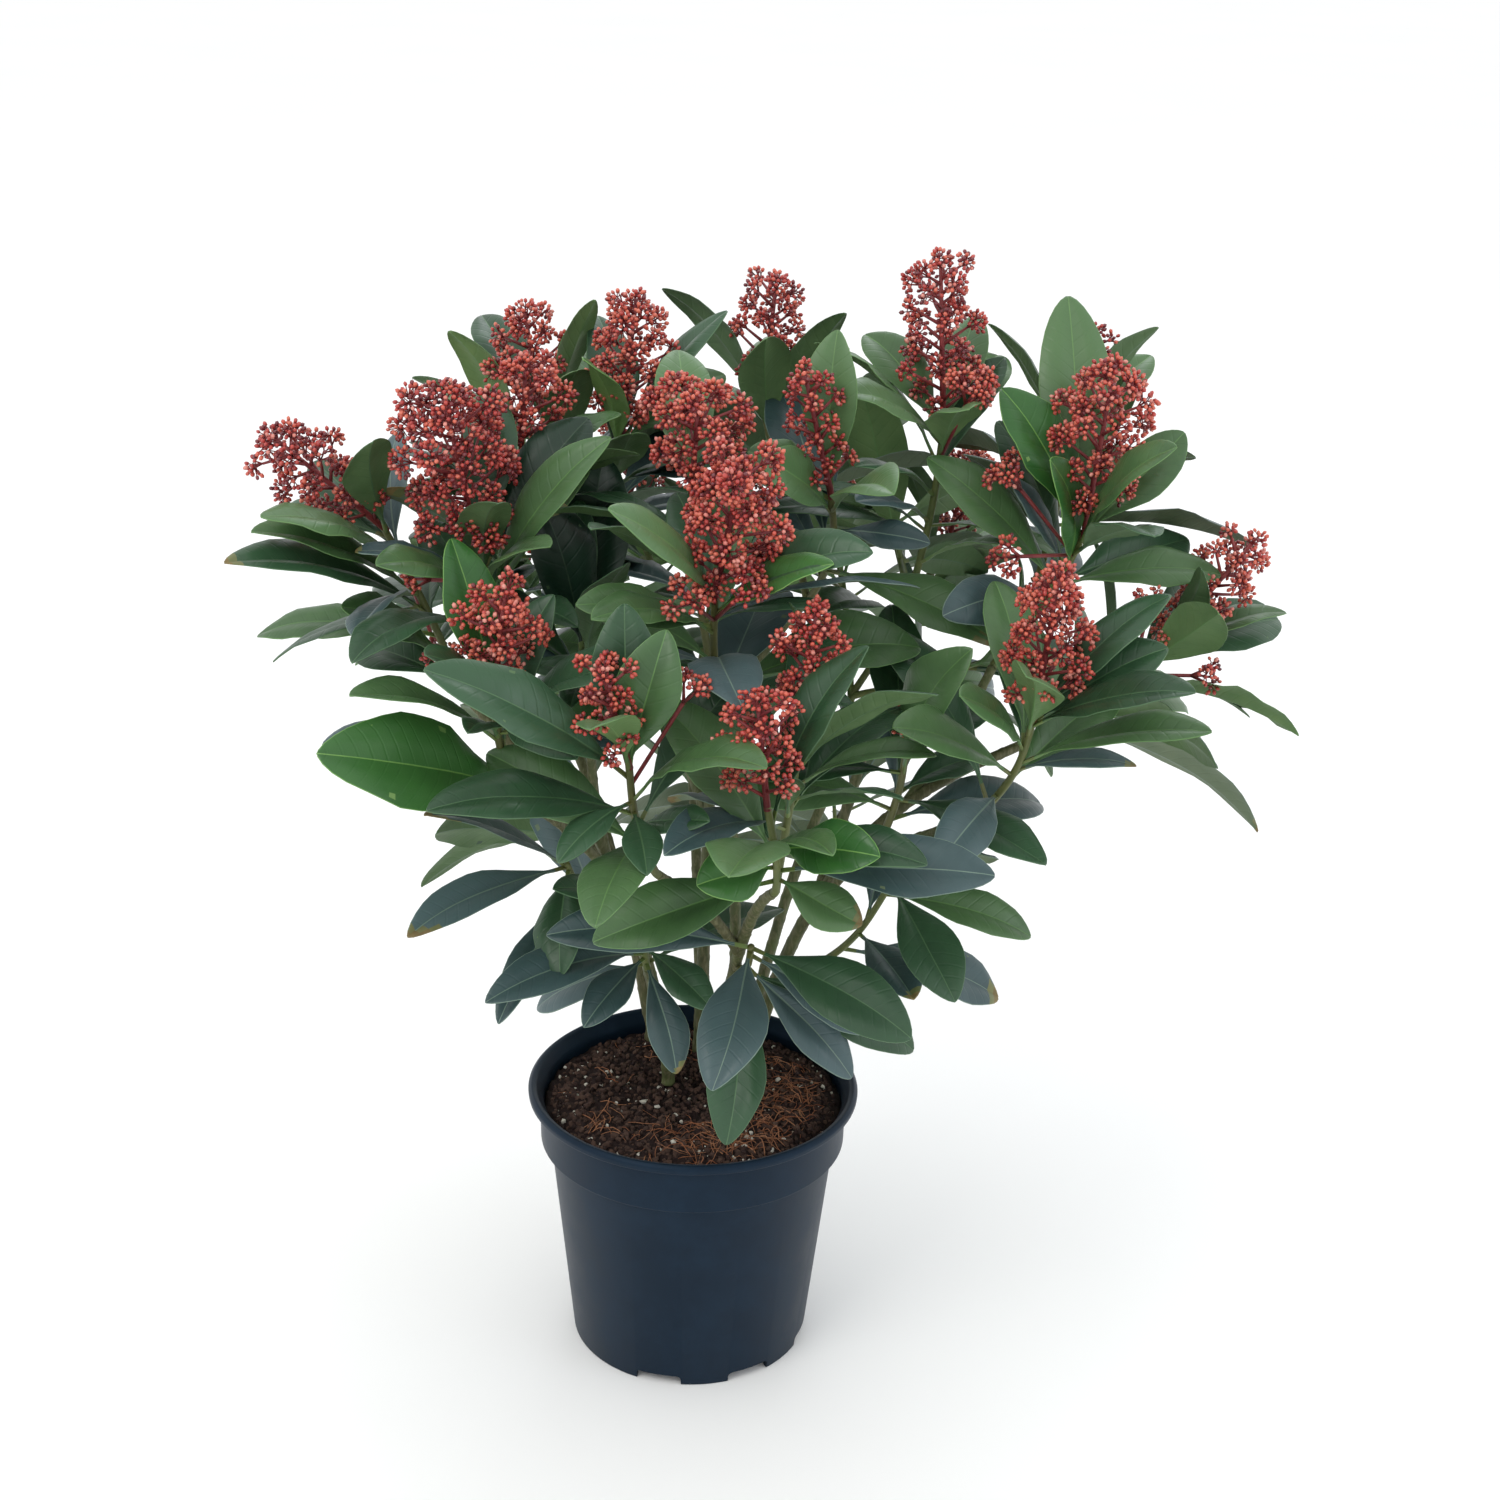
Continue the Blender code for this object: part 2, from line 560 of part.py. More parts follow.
class Limb(NamedTuple):
    """The centre line and radii of a limb."""

    places: list
    radii: list

    def at(self, part):
        """The place, heading and radius that lie this part of the way along."""
        runs = [(end - start).length for start, end in zip(self.places, self.places[1:])]
        left = part * sum(runs)
        number = 0
        while left > runs[number] and number < len(runs) - 1:
            left -= runs[number]
            number += 1
        share = min(left / runs[number], 1.0)
        start, end = self.places[number], self.places[number + 1]
        radius = mix(self.radii[number], self.radii[number + 1], share)
        return start.lerp(end, share), (end - start).normalized(), radius

    def fattened(self, room):
        """A copy that reaches this much further all round."""
        first = self.places[0] - self.at(0.0)[1] * room
        last = self.places[-1] + self.at(1.0)[1] * room
        return Limb([first, *self.places[1:-1], last], [radius + room for radius in self.radii])


def curved_limb(start, heading, tip, foot_radius, tip_radius, joints):
    """A limb that starts along its heading and bends up to its tip."""
    reach = (tip - start).length
    bend = start + heading * reach * 0.5
    places = [start] + [bezier(start, bend, tip, i / joints) for i in range(1, joints + 1)]
    places.insert(1, start + heading * LIMB_FIRST_RUN)
    radii = [mix(foot_radius, tip_radius, i / joints) for i in range(joints + 1)]
    radii.insert(0, foot_radius)
    return Limb(places, radii)


def stem_limb(stem):
    """A stem that flares where it leaves the soil."""
    foot = Vector((*stem.foot, SOIL_TOP + GAP))
    tip = Vector(stem.tip)
    lean = Vector((tip.x - foot.x, tip.y - foot.y, 0.0)) * STEM_LEAN
    bend = foot + lean + Vector((0.0, 0.0, (tip.z - foot.z) * STEM_BEND))
    rises = [0.0, *FLARE_RISES]
    rises += [mix(FLARE_END, 1.0, i / LIMB_JOINTS) for i in range(LIMB_JOINTS + 1)]
    places = [bezier(foot, bend, tip, t) for t in rises]
    places[1].xy = foot.xy
    radii = []
    for t, place in zip(rises, places):
        flare = 1 + FLARE * math.exp(-(place.z - foot.z) / FLARE_HEIGHT)
        radii.append(mix(stem.foot_radius, stem.tip_radius, t) * flare)
    return Limb(places, radii)


def plan_limbs():
    """Every stem and bough, parents before their children."""
    limbs = {name: stem_limb(stem) for name, stem in STEMS.items()}
    for name, bough in BOUGHS.items():
        start, heading, _ = limbs[bough.parent].at(bough.leaves_at)
        tip = Vector(bough.tip)
        if bough.leaves_at == 1.0:
            start = start + heading * GAP
        else:
            heading = (heading + (tip - start).normalized() * 2).normalized()
        limbs[name] = curved_limb(
            start, heading, tip, bough.foot_radius, bough.tip_radius, LIMB_JOINTS
        )
    return limbs


def earlier_neighbours(name):
    """The limbs to cut a bough clear of: its parent's earlier boughs, and a parent it forks from."""
    bough = BOUGHS[name]
    order = list(BOUGHS)
    neighbours = [other for other in order[: order.index(name)] if BOUGHS[other].parent == bough.parent]
    if bough.leaves_at < 1.0:
        neighbours.append(bough.parent)
    return neighbours


def make_limbs(collection, cutters, limbs):
    """The solids of the stems and boughs, each cut clear of those that it grows beside."""
    objects = {}
    fat_copies = {}
    for name, limb in limbs.items():
        bark = finish(f"{name}_bark", BARK_COLOUR, 0.7)
        objects[name] = round_limb(name, collection, limb.places, limb.radii, LIMB_ROUNDNESS, bark)
        fat = limb.fattened(LIMB_CLEARANCE)
        fat_copies[name] = round_limb(
            f"room_{name}", cutters, fat.places, fat.radii, LIMB_ROUNDNESS, bark
        )
        if name in BOUGHS:
            for other in earlier_neighbours(name):
                add_boolean(objects[name], "DIFFERENCE", fat_copies[other])
            apply_modifiers(objects[name])
    return objects


def spindle(sides, stations, place):
    """A closed pod: a ball whose rings go to the given stations, shaped by place(t, turn)."""
    shape = bmesh.new()
    rings = len(stations) + 1
    bmesh.ops.create_uvsphere(shape, u_segments=sides, v_segments=rings, radius=1.0)
    along = (0.0, *stations, 1.0)
    for corner in shape.verts:
        from_foot = math.acos(max(-1.0, min(1.0, -corner.co.z)))
        turn = math.atan2(corner.co.y, corner.co.x)
        corner.co = place(along[round(from_foot / math.pi * rings)], turn)
    bmesh.ops.triangulate(shape, faces=shape.faces, quad_method="FIXED")
    return shape


class Leaf(NamedTuple):
    """A leaf from its foot, on the twig's centre line, to its tip."""

    foot: Vector
    tip: Vector
    face: Vector
    width: float


def blade_width(t):
    """How wide a leaf is at t, as a part of its full width: a long wedge, then a rounder end."""
    beyond = max(t - PETIOLE, 0.0) / (1 - PETIOLE)
    return math.sin(math.pi * beyond**WIDEST_LATE) ** mix(WEDGE_POWER, END_POWER, beyond)


def leaf_pod(leaf, room=0.0):
    """A leaf as a thin folded pod, made this much larger all round."""
    reach = leaf.tip - leaf.foot
    along = reach.normalized()
    face = (leaf.face - along * leaf.face.dot(along)).normalized()
    across = face.cross(along)
    bend = leaf.foot + reach / 2 + face * (2 * LEAF_ARCH * reach.length)

    def place(t, turn):
        centre = bezier(leaf.foot, bend, leaf.tip, t)
        if t in (0.0, 1.0):
            return centre
        half = leaf.width / 2 * blade_width(t) + room
        is_keel = math.sin(turn) > 0
        rise = -LEAF_THICKNESS - room if is_keel else LEAF_FOLD * half + room
        return centre - across * (half * math.cos(turn) / math.cos(math.pi / 6)) + face * rise

    return spindle(3, LEAF_STATIONS, place)


def bud_pod(foot, tip, radius, room=0.0):
    """A bunch of buds as one pod that widens towards its outer end."""
    axis = (tip - foot).normalized()
    side = axis.orthogonal().normalized()
    other = axis.cross(side)

    def place(t, turn):
        reach = radius + room if t == BUD_FULLEST_AT else 0.0
        return foot.lerp(tip, t) + (side * math.cos(turn) + other * math.sin(turn)) * reach

    return spindle(4, (BUD_FULLEST_AT,), place)


class Solid(NamedTuple):
    """The surface of something already grown, its bounds, and the mass that owns it."""

    owner: str
    low: Vector
    high: Vector
    surface: BVHTree


def solid_of(owner, shape, but=None):
    """The surface of a bmesh, without the faces that meet at one place if that is given."""
    corners = [corner.co.copy() for corner in shape.verts]
    shape.verts.index_update()
    faces = [
        [corner.index for corner in face.verts]
        for face in shape.faces
        if but is None or all((corner.co - but).length > GAP for corner in face.verts)
    ]
    low = Vector([min(corner[i] for corner in corners) for i in range(3)])
    high = Vector([max(corner[i] for corner in corners) for i in range(3)])
    return Solid(owner, low, high, BVHTree.FromPolygons(corners, faces))


def meets(one, other):
    if any(one.low[i] > other.high[i] or other.low[i] > one.high[i] for i in range(3)):
        return False
    return bool(one.surface.overlap(other.surface))


class Crown:
    """What has grown so far: whole solids for the other masses, and outer parts for their own."""

    def __init__(self):
        self.whole = []
        self.outer = []
        self.tips = {}

    def has_room(self, whole, fat):
        """Whether a new thing keeps off all but its own mass, as it is and with its clearance."""
        others = [solid for solid in self.whole if solid.owner != whole.owner]
        return not any(meets(fat, solid) or meets(whole, solid) for solid in others)

    def is_apart(self, outer):
        """Whether the outer part of a new thing keeps off the outer parts of its own mass."""
        return not any(solid.owner == outer.owner and meets(outer, solid) for solid in self.outer)

    def add(self, whole, outer):
        self.whole.append(whole)
        self.outer.append(outer)


def twig_limb(start, heading, shoot):
    """A shoot's twig up to its head, arriving in line with its panicle."""
    head = Vector(shoot.head)
    axis = (Vector(shoot.tip) - head).normalized()
    reach = (head - start).length
    bend = (start + heading * reach / 2 + head - axis * reach / 2) / 2
    places = [start, start + heading * TWIG_FIRST_RUN]
    places += [bezier(start, bend, head, (i + 1) / TWIG_JOINTS) for i in range(TWIG_JOINTS)]
    radii = [mix(TWIG_RADIUS, HEAD_RADIUS, i / (len(places) - 1)) for i in range(len(places))]
    return Limb(places, radii)


def plan_twigs(limbs):
    """The twig of every shoot: a mass's first shoot starts on its limb and the others fork from it."""
    twigs = {}
    firsts = {}
    for name, shoot in SHOOTS.items():
        head = Vector(shoot.head)
        if shoot.mass in firsts:
            start, heading, _ = twigs[firsts[shoot.mass]].at(FORK_AT)
            heading = (heading + (head - start).normalized()).normalized()
        else:
            firsts[shoot.mass] = name
            limb, part = MASSES[shoot.mass]
            start, heading, radius = limbs[limb].at(part)
            if part == 1.0:
                start = start + heading * GAP
            else:
                outward = head - start
                heading = (outward - heading * outward.dot(heading)).normalized()
                start = start + heading * (radius + GAP * 1.5)
        twigs[name] = twig_limb(start, heading, shoot)
    return twigs


def bloom_pods(name):
    """Foot, outer end and radius of each branch of a shoot's panicle, lowest first."""
    shoot = SHOOTS[name]
    head = Vector(shoot.head)
    reach = Vector(shoot.tip) - head
    axis = reach.normalized()
    across = Vector((0.0, 1.0, 0.0)).cross(axis).normalized()
    back = axis.cross(across)
    dice = random.Random(f"{name} bloom")
    start_turn = dice.uniform(0, math.tau)
    count = round(reach.length / BLOOM_BRANCH_PITCH) + 1
    pods = []
    for number in range(count):
        up = mix(BLOOM_FIRST_AT, BLOOM_LAST_AT, number / (count - 1))
        turn = start_turn + number * GOLDEN_TURN
        outward = across * math.cos(turn) + back * math.sin(turn)
        fullness = math.sin(math.pi * mix(*BLOOM_FULLNESS, up))
        spread = shoot.bloom_width / 2 * fullness * dice.uniform(*BLOOM_SPREADS)
        foot = head + reach * up
        tip = foot + outward * spread + axis * (spread * BLOOM_BRANCH_RISE)
        pods.append((foot, tip, shoot.bloom_width * BLOOM_POD_RADIUS))
    pods.append((head + reach * BLOOM_TOP_FROM, head + reach, shoot.bloom_width * BLOOM_POD_RADIUS))
    return pods


def spray_pods(spray, start):
    """The stalk of a small bunch, from its twig at start, and the bunch itself."""
    centre = Vector(spray.centre)
    half = (centre - start).normalized() * spray.width * SPRAY_HALF_LENGTH
    stalk = (start, centre, SPRAY_STALK_RADIUS)
    return [stalk, (centre - half, centre + half, spray.width * SPRAY_POD_RADIUS)]


def spiral_leaf(name, twig, number, attempt):
    """The leaf that the spiral gives here, moved a little further at each new attempt."""
    shoot = SHOOTS[name]
    dice = random.Random(f"{name} leaf {number} {attempt}")
    up = number / (shoot.leaves - 1)
    start_turn = random.Random(f"{name} turn").uniform(0, math.tau)
    stray = 1 + attempt
    turn_stray = dice.uniform(-LEAF_TURN_STRAY, LEAF_TURN_STRAY) * stray
    turn = start_turn + number * GOLDEN_TURN + math.radians(turn_stray)
    spread_stray = dice.uniform(-LEAF_SPREAD_STRAY, LEAF_SPREAD_STRAY) * stray
    spread = mix(LOW_LEAF_SPREAD, HIGH_LEAF_SPREAD, up) + math.radians(spread_stray)
    length = mix(LOW_LEAF_LENGTH, HIGH_LEAF_LENGTH, up) * dice.uniform(*LEAF_SIZES)
    length *= 1 - LEAF_SHRINK * attempt
    twig_length = sum((end - start).length for start, end in zip(twig.places, twig.places[1:]))
    run = min(LEAFY_RUN, twig_length * LEAFY_PART)
    foot, heading, _ = twig.at(1 - mix(1.0, HIGHEST_LEAF_GAP, up) * run / twig_length)
    across = Vector((0.0, 1.0, 0.0)).cross(heading).normalized()
    back = heading.cross(across)
    outward = across * math.cos(turn) + back * math.sin(turn)
    reach = heading * math.cos(spread) + outward * math.sin(spread)
    reach.z = max(reach.z - shoot.sag * (SAG_REACH - up), -shoot.sag * SAG_LIMIT)
    tip = foot + reach.normalized() * length
    return Leaf(foot, tip, heading, length * LEAF_SLENDERNESS * dice.uniform(*LEAF_SIZES))


def hides_stems(leaf):
    """Whether a leaf would hang down in front of the stems."""
    return leaf.tip.y < OPEN_BEFORE and leaf.tip.z < OPEN_BELOW


def shown_leaf(number, twig, attempt):
    """A leaf that shows well, turned a little to the front, and moved further at each attempt."""
    _, part, reach, width = SHOWN_LEAVES[number]
    dice = random.Random(f"shown leaf {number} {attempt}")
    stray = Vector([dice.uniform(-1, 1) for _ in range(3)]) * SHOWN_STRAY * attempt
    foot, heading, _ = twig.at(min(part, HIGHEST_LEAF))
    tip = foot + Vector(reach) * (1 - SHOWN_SHRINK * attempt) + stray
    return Leaf(foot, tip, heading + Vector(SHOWN_FACE), width)


def try_leaf(crown, mass, leaf):
    """Adds a leaf to the crown if it has room there, and says whether it did."""
    tips = crown.tips.setdefault(mass, [])
    if any((leaf.tip - tip).length < TIP_SPACING for tip in tips):
        return False
    fat = leaf_pod(leaf, LEAF_CLEARANCE)
    true = leaf_pod(leaf)
    whole = solid_of(mass, true)
    outer = solid_of(mass, true, leaf.foot)
    free = crown.has_room(whole, solid_of(mass, fat)) and crown.is_apart(outer)
    fat.free()
    true.free()
    if free:
        crown.add(whole, outer)
        tips.append(leaf.tip)
    return free


def plan_leaves(crown, twigs):
    """Every leaf, by shoot: the shown leaves first, then the spirals, one leaf a shoot in turn."""
    leaves = {name: [] for name in SHOOTS}
    for number, (name, *_) in enumerate(SHOWN_LEAVES):
        for attempt in range(SHOWN_LEAF_TRIES):
            leaf = shown_leaf(number, twigs[name], attempt)
            if try_leaf(crown, SHOOTS[name].mass, leaf):
                leaves[name].append(leaf)
                break
    for number in range(max(shoot.leaves for shoot in SHOOTS.values())):
        for name, shoot in SHOOTS.items():
            if number >= shoot.leaves:
                continue
            for attempt in range(LEAF_TRIES):
                leaf = spiral_leaf(name, twigs[name], number, attempt)
                if not hides_stems(leaf) and try_leaf(crown, shoot.mass, leaf):
                    leaves[name].append(leaf)
                    break
    return leaves


def grow_pods(crown, mass, pods):
    """The shapes of pods that hang together, added to the crown, or none if one has no room."""
    shapes = [bud_pod(*pod) for pod in pods]
    wholes = [solid_of(mass, shape) for shape in shapes]
    fats = [solid_of(mass, bud_pod(*pod, LEAF_CLEARANCE)) for pod in pods]
    if not all(crown.has_room(whole, fat) for whole, fat in zip(wholes, fats)):
        return []
    for whole in wholes:
        crown.add(whole, whole)
    return shapes


def join(base, pieces):
    """Fuses a mass with one union, and removes the pieces that went into it."""
    union = base.modifiers.new("union", "BOOLEAN")
    union.operand_type = "COLLECTION"
    union.collection = pieces
    union.operation = "UNION"
    union.solver = "EXACT"
    union.material_mode = "TRANSFER"
    apply_modifiers(base)
    for piece in list(pieces.objects):
        bpy.data.objects.remove(piece)
    bpy.data.collections.remove(pieces)


def whole_twig(name, twig):
    """A shoot's twig, carried on as the stalk of its panicle."""
    shoot = SHOOTS[name]
    if shoot.bloom_width == 0:
        return twig
    head = Vector(shoot.head)
    reach = Vector(shoot.tip) - head
    places = twig.places + [head + reach * 0.5, head + reach * 0.9]
    radii = twig.radii + [mix(HEAD_RADIUS, BLOOM_TIP_RADIUS, 0.5), BLOOM_TIP_RADIUS]
    return Limb(places, radii)


def make_masses(collection, scene_root, limbs, obstacles):
    """Grows every mass of foliage and fuses each into one solid."""
    crown = Crown()
    for obstacle in obstacles:
        shape = bmesh.new()
        shape.from_mesh(obstacle.data)
        whole = solid_of("", shape)
        crown.add(whole, whole)
        shape.free()

    twigs = plan_twigs(limbs)
    bases = {}
    pieces = {}
    materials = {}
    for name, shoot in SHOOTS.items():
        mass = shoot.mass
        if mass not in pieces:
            pieces[mass] = bpy.data.collections.new(f"{mass}_pieces")
            scene_root.children.link(pieces[mass])
            materials[mass] = (
                finish(f"{mass}_twigs", BARK_COLOUR, 0.7),
                finish(f"{mass}_leaves", LEAF_COLOUR, 0.38),
                finish(f"{mass}_buds", BUD_COLOUR, 0.45),
            )
        limb = whole_twig(name, twigs[name])
        home = pieces[mass] if mass in bases else collection
        title = f"{name}_twig" if mass in bases else f"foliage_{mass}"
        twig = round_limb(title, home, limb.places, limb.radii, 0, materials[mass][0])
        bases.setdefault(mass, twig)
        shape = bmesh.new()
        shape.from_mesh(twig.data)
        whole = solid_of(mass, shape)
        crown.add(whole, whole)
        shape.free()

    for name, shoot in SHOOTS.items():
        if shoot.bloom_width == 0:
            continue
        for pod in bloom_pods(name):
            for shape in grow_pods(crown, shoot.mass, [pod]):
                put_in(pieces[shoot.mass], f"{name}_buds", shape, [materials[shoot.mass][2]])
    for spray in SPRAYS:
        mass = SHOOTS[spray.shoot].mass
        start, _, _ = twigs[spray.shoot].at(SPRAY_LEAVES_AT)
        for shape in grow_pods(crown, mass, spray_pods(spray, start)):
            put_in(pieces[mass], f"{spray.shoot}_spray", shape, [materials[mass][2]])

    for name, leaves in plan_leaves(crown, twigs).items():
        mass = SHOOTS[name].mass
        for leaf in leaves:
            put_in(pieces[mass], f"{name}_leaf", leaf_pod(leaf), [materials[mass][1]])
    for mass, base in bases.items():
        join(base, pieces[mass])


def main():
    for obj in list(bpy.data.objects):
        bpy.data.objects.remove(obj)
    root = bpy.context.scene.collection
    skimmia = bpy.data.collections.new("skimmia")
    cutters = bpy.data.collections.new("cutters")
    root.children.link(skimmia)
    root.children.link(cutters)

    pot = make_pot(skimmia, cutters)
    soil = make_soil(skimmia)
    limbs = plan_limbs()
    limb_objects = make_limbs(skimmia, cutters, limbs)
    make_masses(skimmia, root, limbs, [pot, soil, *limb_objects.values()])
    for cutter in list(cutters.objects):
        bpy.data.objects.remove(cutter)
    bpy.data.collections.remove(cutters)
    for obj in skimmia.objects:
        obj.data.shade_smooth()
        obj.data.set_sharp_from_angle(angle=SMOOTH_UP_TO)


main()
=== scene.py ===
"""The looks of a potted skimmia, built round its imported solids.

Metres, +Z up, in the frame of the solids: the origin is the middle of the pot's flat
underside, +X is the plant's right and +Y its back. The shoots, leaves and panicles grow by
the same seeded rule as the solids, so each fine leaf lies where its plain one does.
"""

import json
import math
import random
from typing import NamedTuple

import bmesh
import bpy
import numpy as np
from mathutils import Matrix, Vector
from mathutils.bvhtree import BVHTree
from mathutils.geometry import interpolate_bezier

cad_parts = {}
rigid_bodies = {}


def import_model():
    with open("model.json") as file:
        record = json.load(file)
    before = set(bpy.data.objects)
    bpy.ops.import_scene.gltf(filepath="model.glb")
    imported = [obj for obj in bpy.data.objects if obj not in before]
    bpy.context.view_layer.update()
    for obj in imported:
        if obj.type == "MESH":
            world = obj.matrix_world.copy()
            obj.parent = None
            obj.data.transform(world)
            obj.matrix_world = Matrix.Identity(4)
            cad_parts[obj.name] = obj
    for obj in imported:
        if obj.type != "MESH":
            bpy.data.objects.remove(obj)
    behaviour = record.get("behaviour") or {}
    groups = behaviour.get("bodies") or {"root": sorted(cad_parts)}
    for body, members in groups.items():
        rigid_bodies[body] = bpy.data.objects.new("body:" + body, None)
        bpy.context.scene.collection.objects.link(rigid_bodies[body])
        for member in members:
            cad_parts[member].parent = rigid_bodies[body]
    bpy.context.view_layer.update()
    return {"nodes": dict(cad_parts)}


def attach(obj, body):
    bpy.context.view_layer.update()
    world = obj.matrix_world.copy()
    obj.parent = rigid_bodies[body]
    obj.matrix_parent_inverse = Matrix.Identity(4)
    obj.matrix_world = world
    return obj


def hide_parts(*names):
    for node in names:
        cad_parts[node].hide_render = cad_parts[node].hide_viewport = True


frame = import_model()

# The camera, as fitted to the photograph
CAMERA_PLACE = (-0.009, -1.087, 0.761)
CAMERA_YAW = math.radians(1.78)
CAMERA_DOWN = math.radians(21.72)
CAMERA_ROLL = math.radians(1.5)
CAMERA_LENS_MM = 57.55
CAMERA_SENSOR_MM = 36.0

# The studio: a pale floor, a bright room, and the place that the lights look at
FLOOR_SIZE = 60.0
ROOM_BRIGHTNESS = 1.08
LIT_PLACE = (0.0, 0.0, 0.3)

# Each light: its name, place, width, power and colour
LIGHTS = (
    ("key light", (-1.3, -1.5, 2.2), 1.2, 18.0, "#FFFDF8"),
    ("fill light", (1.9, -0.9, 1.3), 1.0, 5.0, "#EAF1FF"),
    ("back light", (0.3, 1.8, 1.9), 1.2, 8.0, "#F4F8FF"),
)

# The gap that neighbouring solids keep
GAP = 0.0003

# The 17 cm nursery pot
POT_HEIGHT = 0.144
LIP_RADIUS = 0.085
LIP_DEPTH = 0.005
LIP_EDGE = 0.0019
COLLAR_RADIUS = 0.0785
COLLAR_HEIGHT = 0.025
BODY_TOP_RADIUS = 0.0735
FOOT_RADIUS = 0.0615
FOOT_RING_WIDTH = 0.0032
CHANNEL_INNER_RADIUS = 0.042
CHANNEL_HEIGHT = 0.006
WALL = 0.0016
FLOOR_THICKNESS = 0.003
POT_STEPS = 160
POT_EDGE = 0.0008
ARC_STEPS = 4
NOTCH_HEIGHT = 0.0053
NOTCH_TURN = math.radians(22)
NOTCH_PITCH = math.radians(45)
FIRST_NOTCH_TURN = math.radians(-15)
NOTCH_COUNT = 7
NOTCH_ROUNDING = 0.0022
DRAIN_COUNT = 6
DRAIN_RADIUS = 0.004
DRAIN_SIDES = 20
FIRST_DRAIN_TURN = math.radians(4)
SHARP_FROM = math.radians(38)
LIP_DRAFT = 0.0003
COLLAR_DRAFT = 0.0004
COLLAR_BOTTOM = POT_HEIGHT - LIP_DEPTH - COLLAR_HEIGHT
FLOOR_TOP = CHANNEL_HEIGHT + FLOOR_THICKNESS

# The potting soil: how it fills the pot, and how far its lumps and grit rise
SOIL_TOP = 0.136
SOIL_EDGE_DROP = 0.003
SOIL_LEVEL_RADIUS = 0.055
SOIL_RINGS = 70
SOIL_SECTORS = 220
SOIL_LUMP = 0.0019
SOIL_GRIT = 0.0007
SOIL_WAVES = ((0.021, 0.45), (0.0115, 0.35), (0.0062, 0.28), (0.0034, 0.2))
SOIL_WAVE_TURN = 0.6
SOIL_WAVE_WARPS = ((2.2, 3.1), (1.7, 2.7))
SOIL_LUMP_SHARE = 0.45
SOIL_LUMP_DROP = 0.35
SOIL_SEED = 7
SOIL_INSET = WALL + 2 * GAP
SOIL_EDGE = COLLAR_RADIUS - SOIL_INSET

# Crumbs and perlite: how many, how large, how far they stand out and how uneven they are
CRUMBS = 3600
CRUMB_SIZES = (0.0004, 0.0017)
PERLITE = 210
PERLITE_SIZES = (0.0004, 0.0014)
GRAINS_OFF_WALL = 0.003
GRAIN_RISES = (-0.1, 0.6)
GRAIN_JITTERS = (0.6, 1.35)
GRAIN_LENGTHS = (0.8, 1.6)

# Coir fibres: the middle and spread of their place round the pot, and their shape
FIBRES = 330
FIBRE_TURNS = (-0.5, 1.15)
FIBRES_OFF_WALL = 0.004
FIBRE_LENGTHS = (0.007, 0.026)
FIBRE_BENDS = (-1.6, 1.6)
FIBRE_LIFT = 0.0008
FIBRE_ARCHES = (0, 0.0026)
FIBRE_THICKNESSES = (0.6, 1.4)
FIBRE_RADIUS = 0.00021
FIBRE_SIDES = 3
FIBRE_JOINTS = 6

# Stems and boughs, with the relief of their bark
STEM_LEAN = 0.35
STEM_BEND = 0.6
FLARE = 0.35
FLARE_HEIGHT = 0.010
FLARE_RISES = (0.04, 0.10)
FLARE_END = 0.2
LIMB_JOINTS = 4
LIMB_FIRST_RUN = 0.006
BARK_SIDES = 18
BARK_STEP = 0.0013
BARK_RELIEF = 0.00019
BARK_RIDGES = 7
BARK_RIDGE_LENGTH = 0.011
BARK_SWAYS = ((1.6, BARK_RIDGE_LENGTH), (0.9, 0.0047))
RIDGE_FADE = (0.6, 0.4)
RIDGE_FADE_LENGTH = 0.006
KNOB_SHARE = 0.8
KNOBS_ROUND = 3
KNOB_LENGTHS = (0.019, 0.0083)

# The ring that a fallen leaf leaves on a stem: a swelling, and a groove just past it
NODE_PITCH = 0.0135
NODE_SWELL = 0.00034
NODE_WIDTH = 0.0012
NODE_SLANT = 0.0016
GROOVE_DEPTH = 0.6 * NODE_SWELL
GROOVE_PAST = 1.6 * NODE_WIDTH
GROOVE_WIDTH = 0.5 * NODE_WIDTH

# Twigs and the stalks of panicles
FORK_AT = 0.22
TWIG_RADIUS = 0.0021
HEAD_RADIUS = 0.0017
BLOOM_TIP_RADIUS = 0.0009
TWIG_JOINTS = 3
TWIG_FIRST_RUN = 0.003
SPRAY_STALK_RADIUS = 0.0010
PANICLE_STALK_AT = (0.0, 0.3, 0.6, 0.9)
PANICLE_STALK_SUNK = 0.002
PANICLE_STALK_FIT = 0.98
TWIG_SIDES = 10
TWIG_STEP = 0.0022
GOLDEN_TURN = math.radians(137.5)

# Leaves: the lowest on a shoot are long and spread wide, the highest short and upright
LOW_LEAF_LENGTH = 0.100
HIGH_LEAF_LENGTH = 0.078
LEAF_SLENDERNESS = 0.34
LEAF_THICKNESS = 0.0008
LEAF_FOLD = 0.09
LEAF_ARCH = 0.07
LEAFY_RUN = 0.055
LEAFY_PART = 0.8
HIGHEST_LEAF_GAP = 0.04
HIGHEST_LEAF = 0.97
LOW_LEAF_SPREAD = math.radians(80)
HIGH_LEAF_SPREAD = math.radians(30)
LEAF_TURN_STRAY = 7
LEAF_SPREAD_STRAY = 5
LEAF_SIZES = (0.9, 1.1)
LEAF_SHRINK = 0.03
SAG_REACH = 1.2
SAG_LIMIT = 1.3
LEAF_STATIONS = (0.36, 0.72)
LEAF_TRIES = 9
SHOWN_LEAF_TRIES = 12
LEAF_CLEARANCE = 0.0005
TIP_SPACING = 0.014
PETIOLE = 0.09
OLD_SAG = 0.34

# A blade's outline: how late it is widest, and how fast it narrows to its stalk and to its end
WIDEST_LATE = 1.35
WEDGE_POWER = 0.95
END_POWER = 0.62

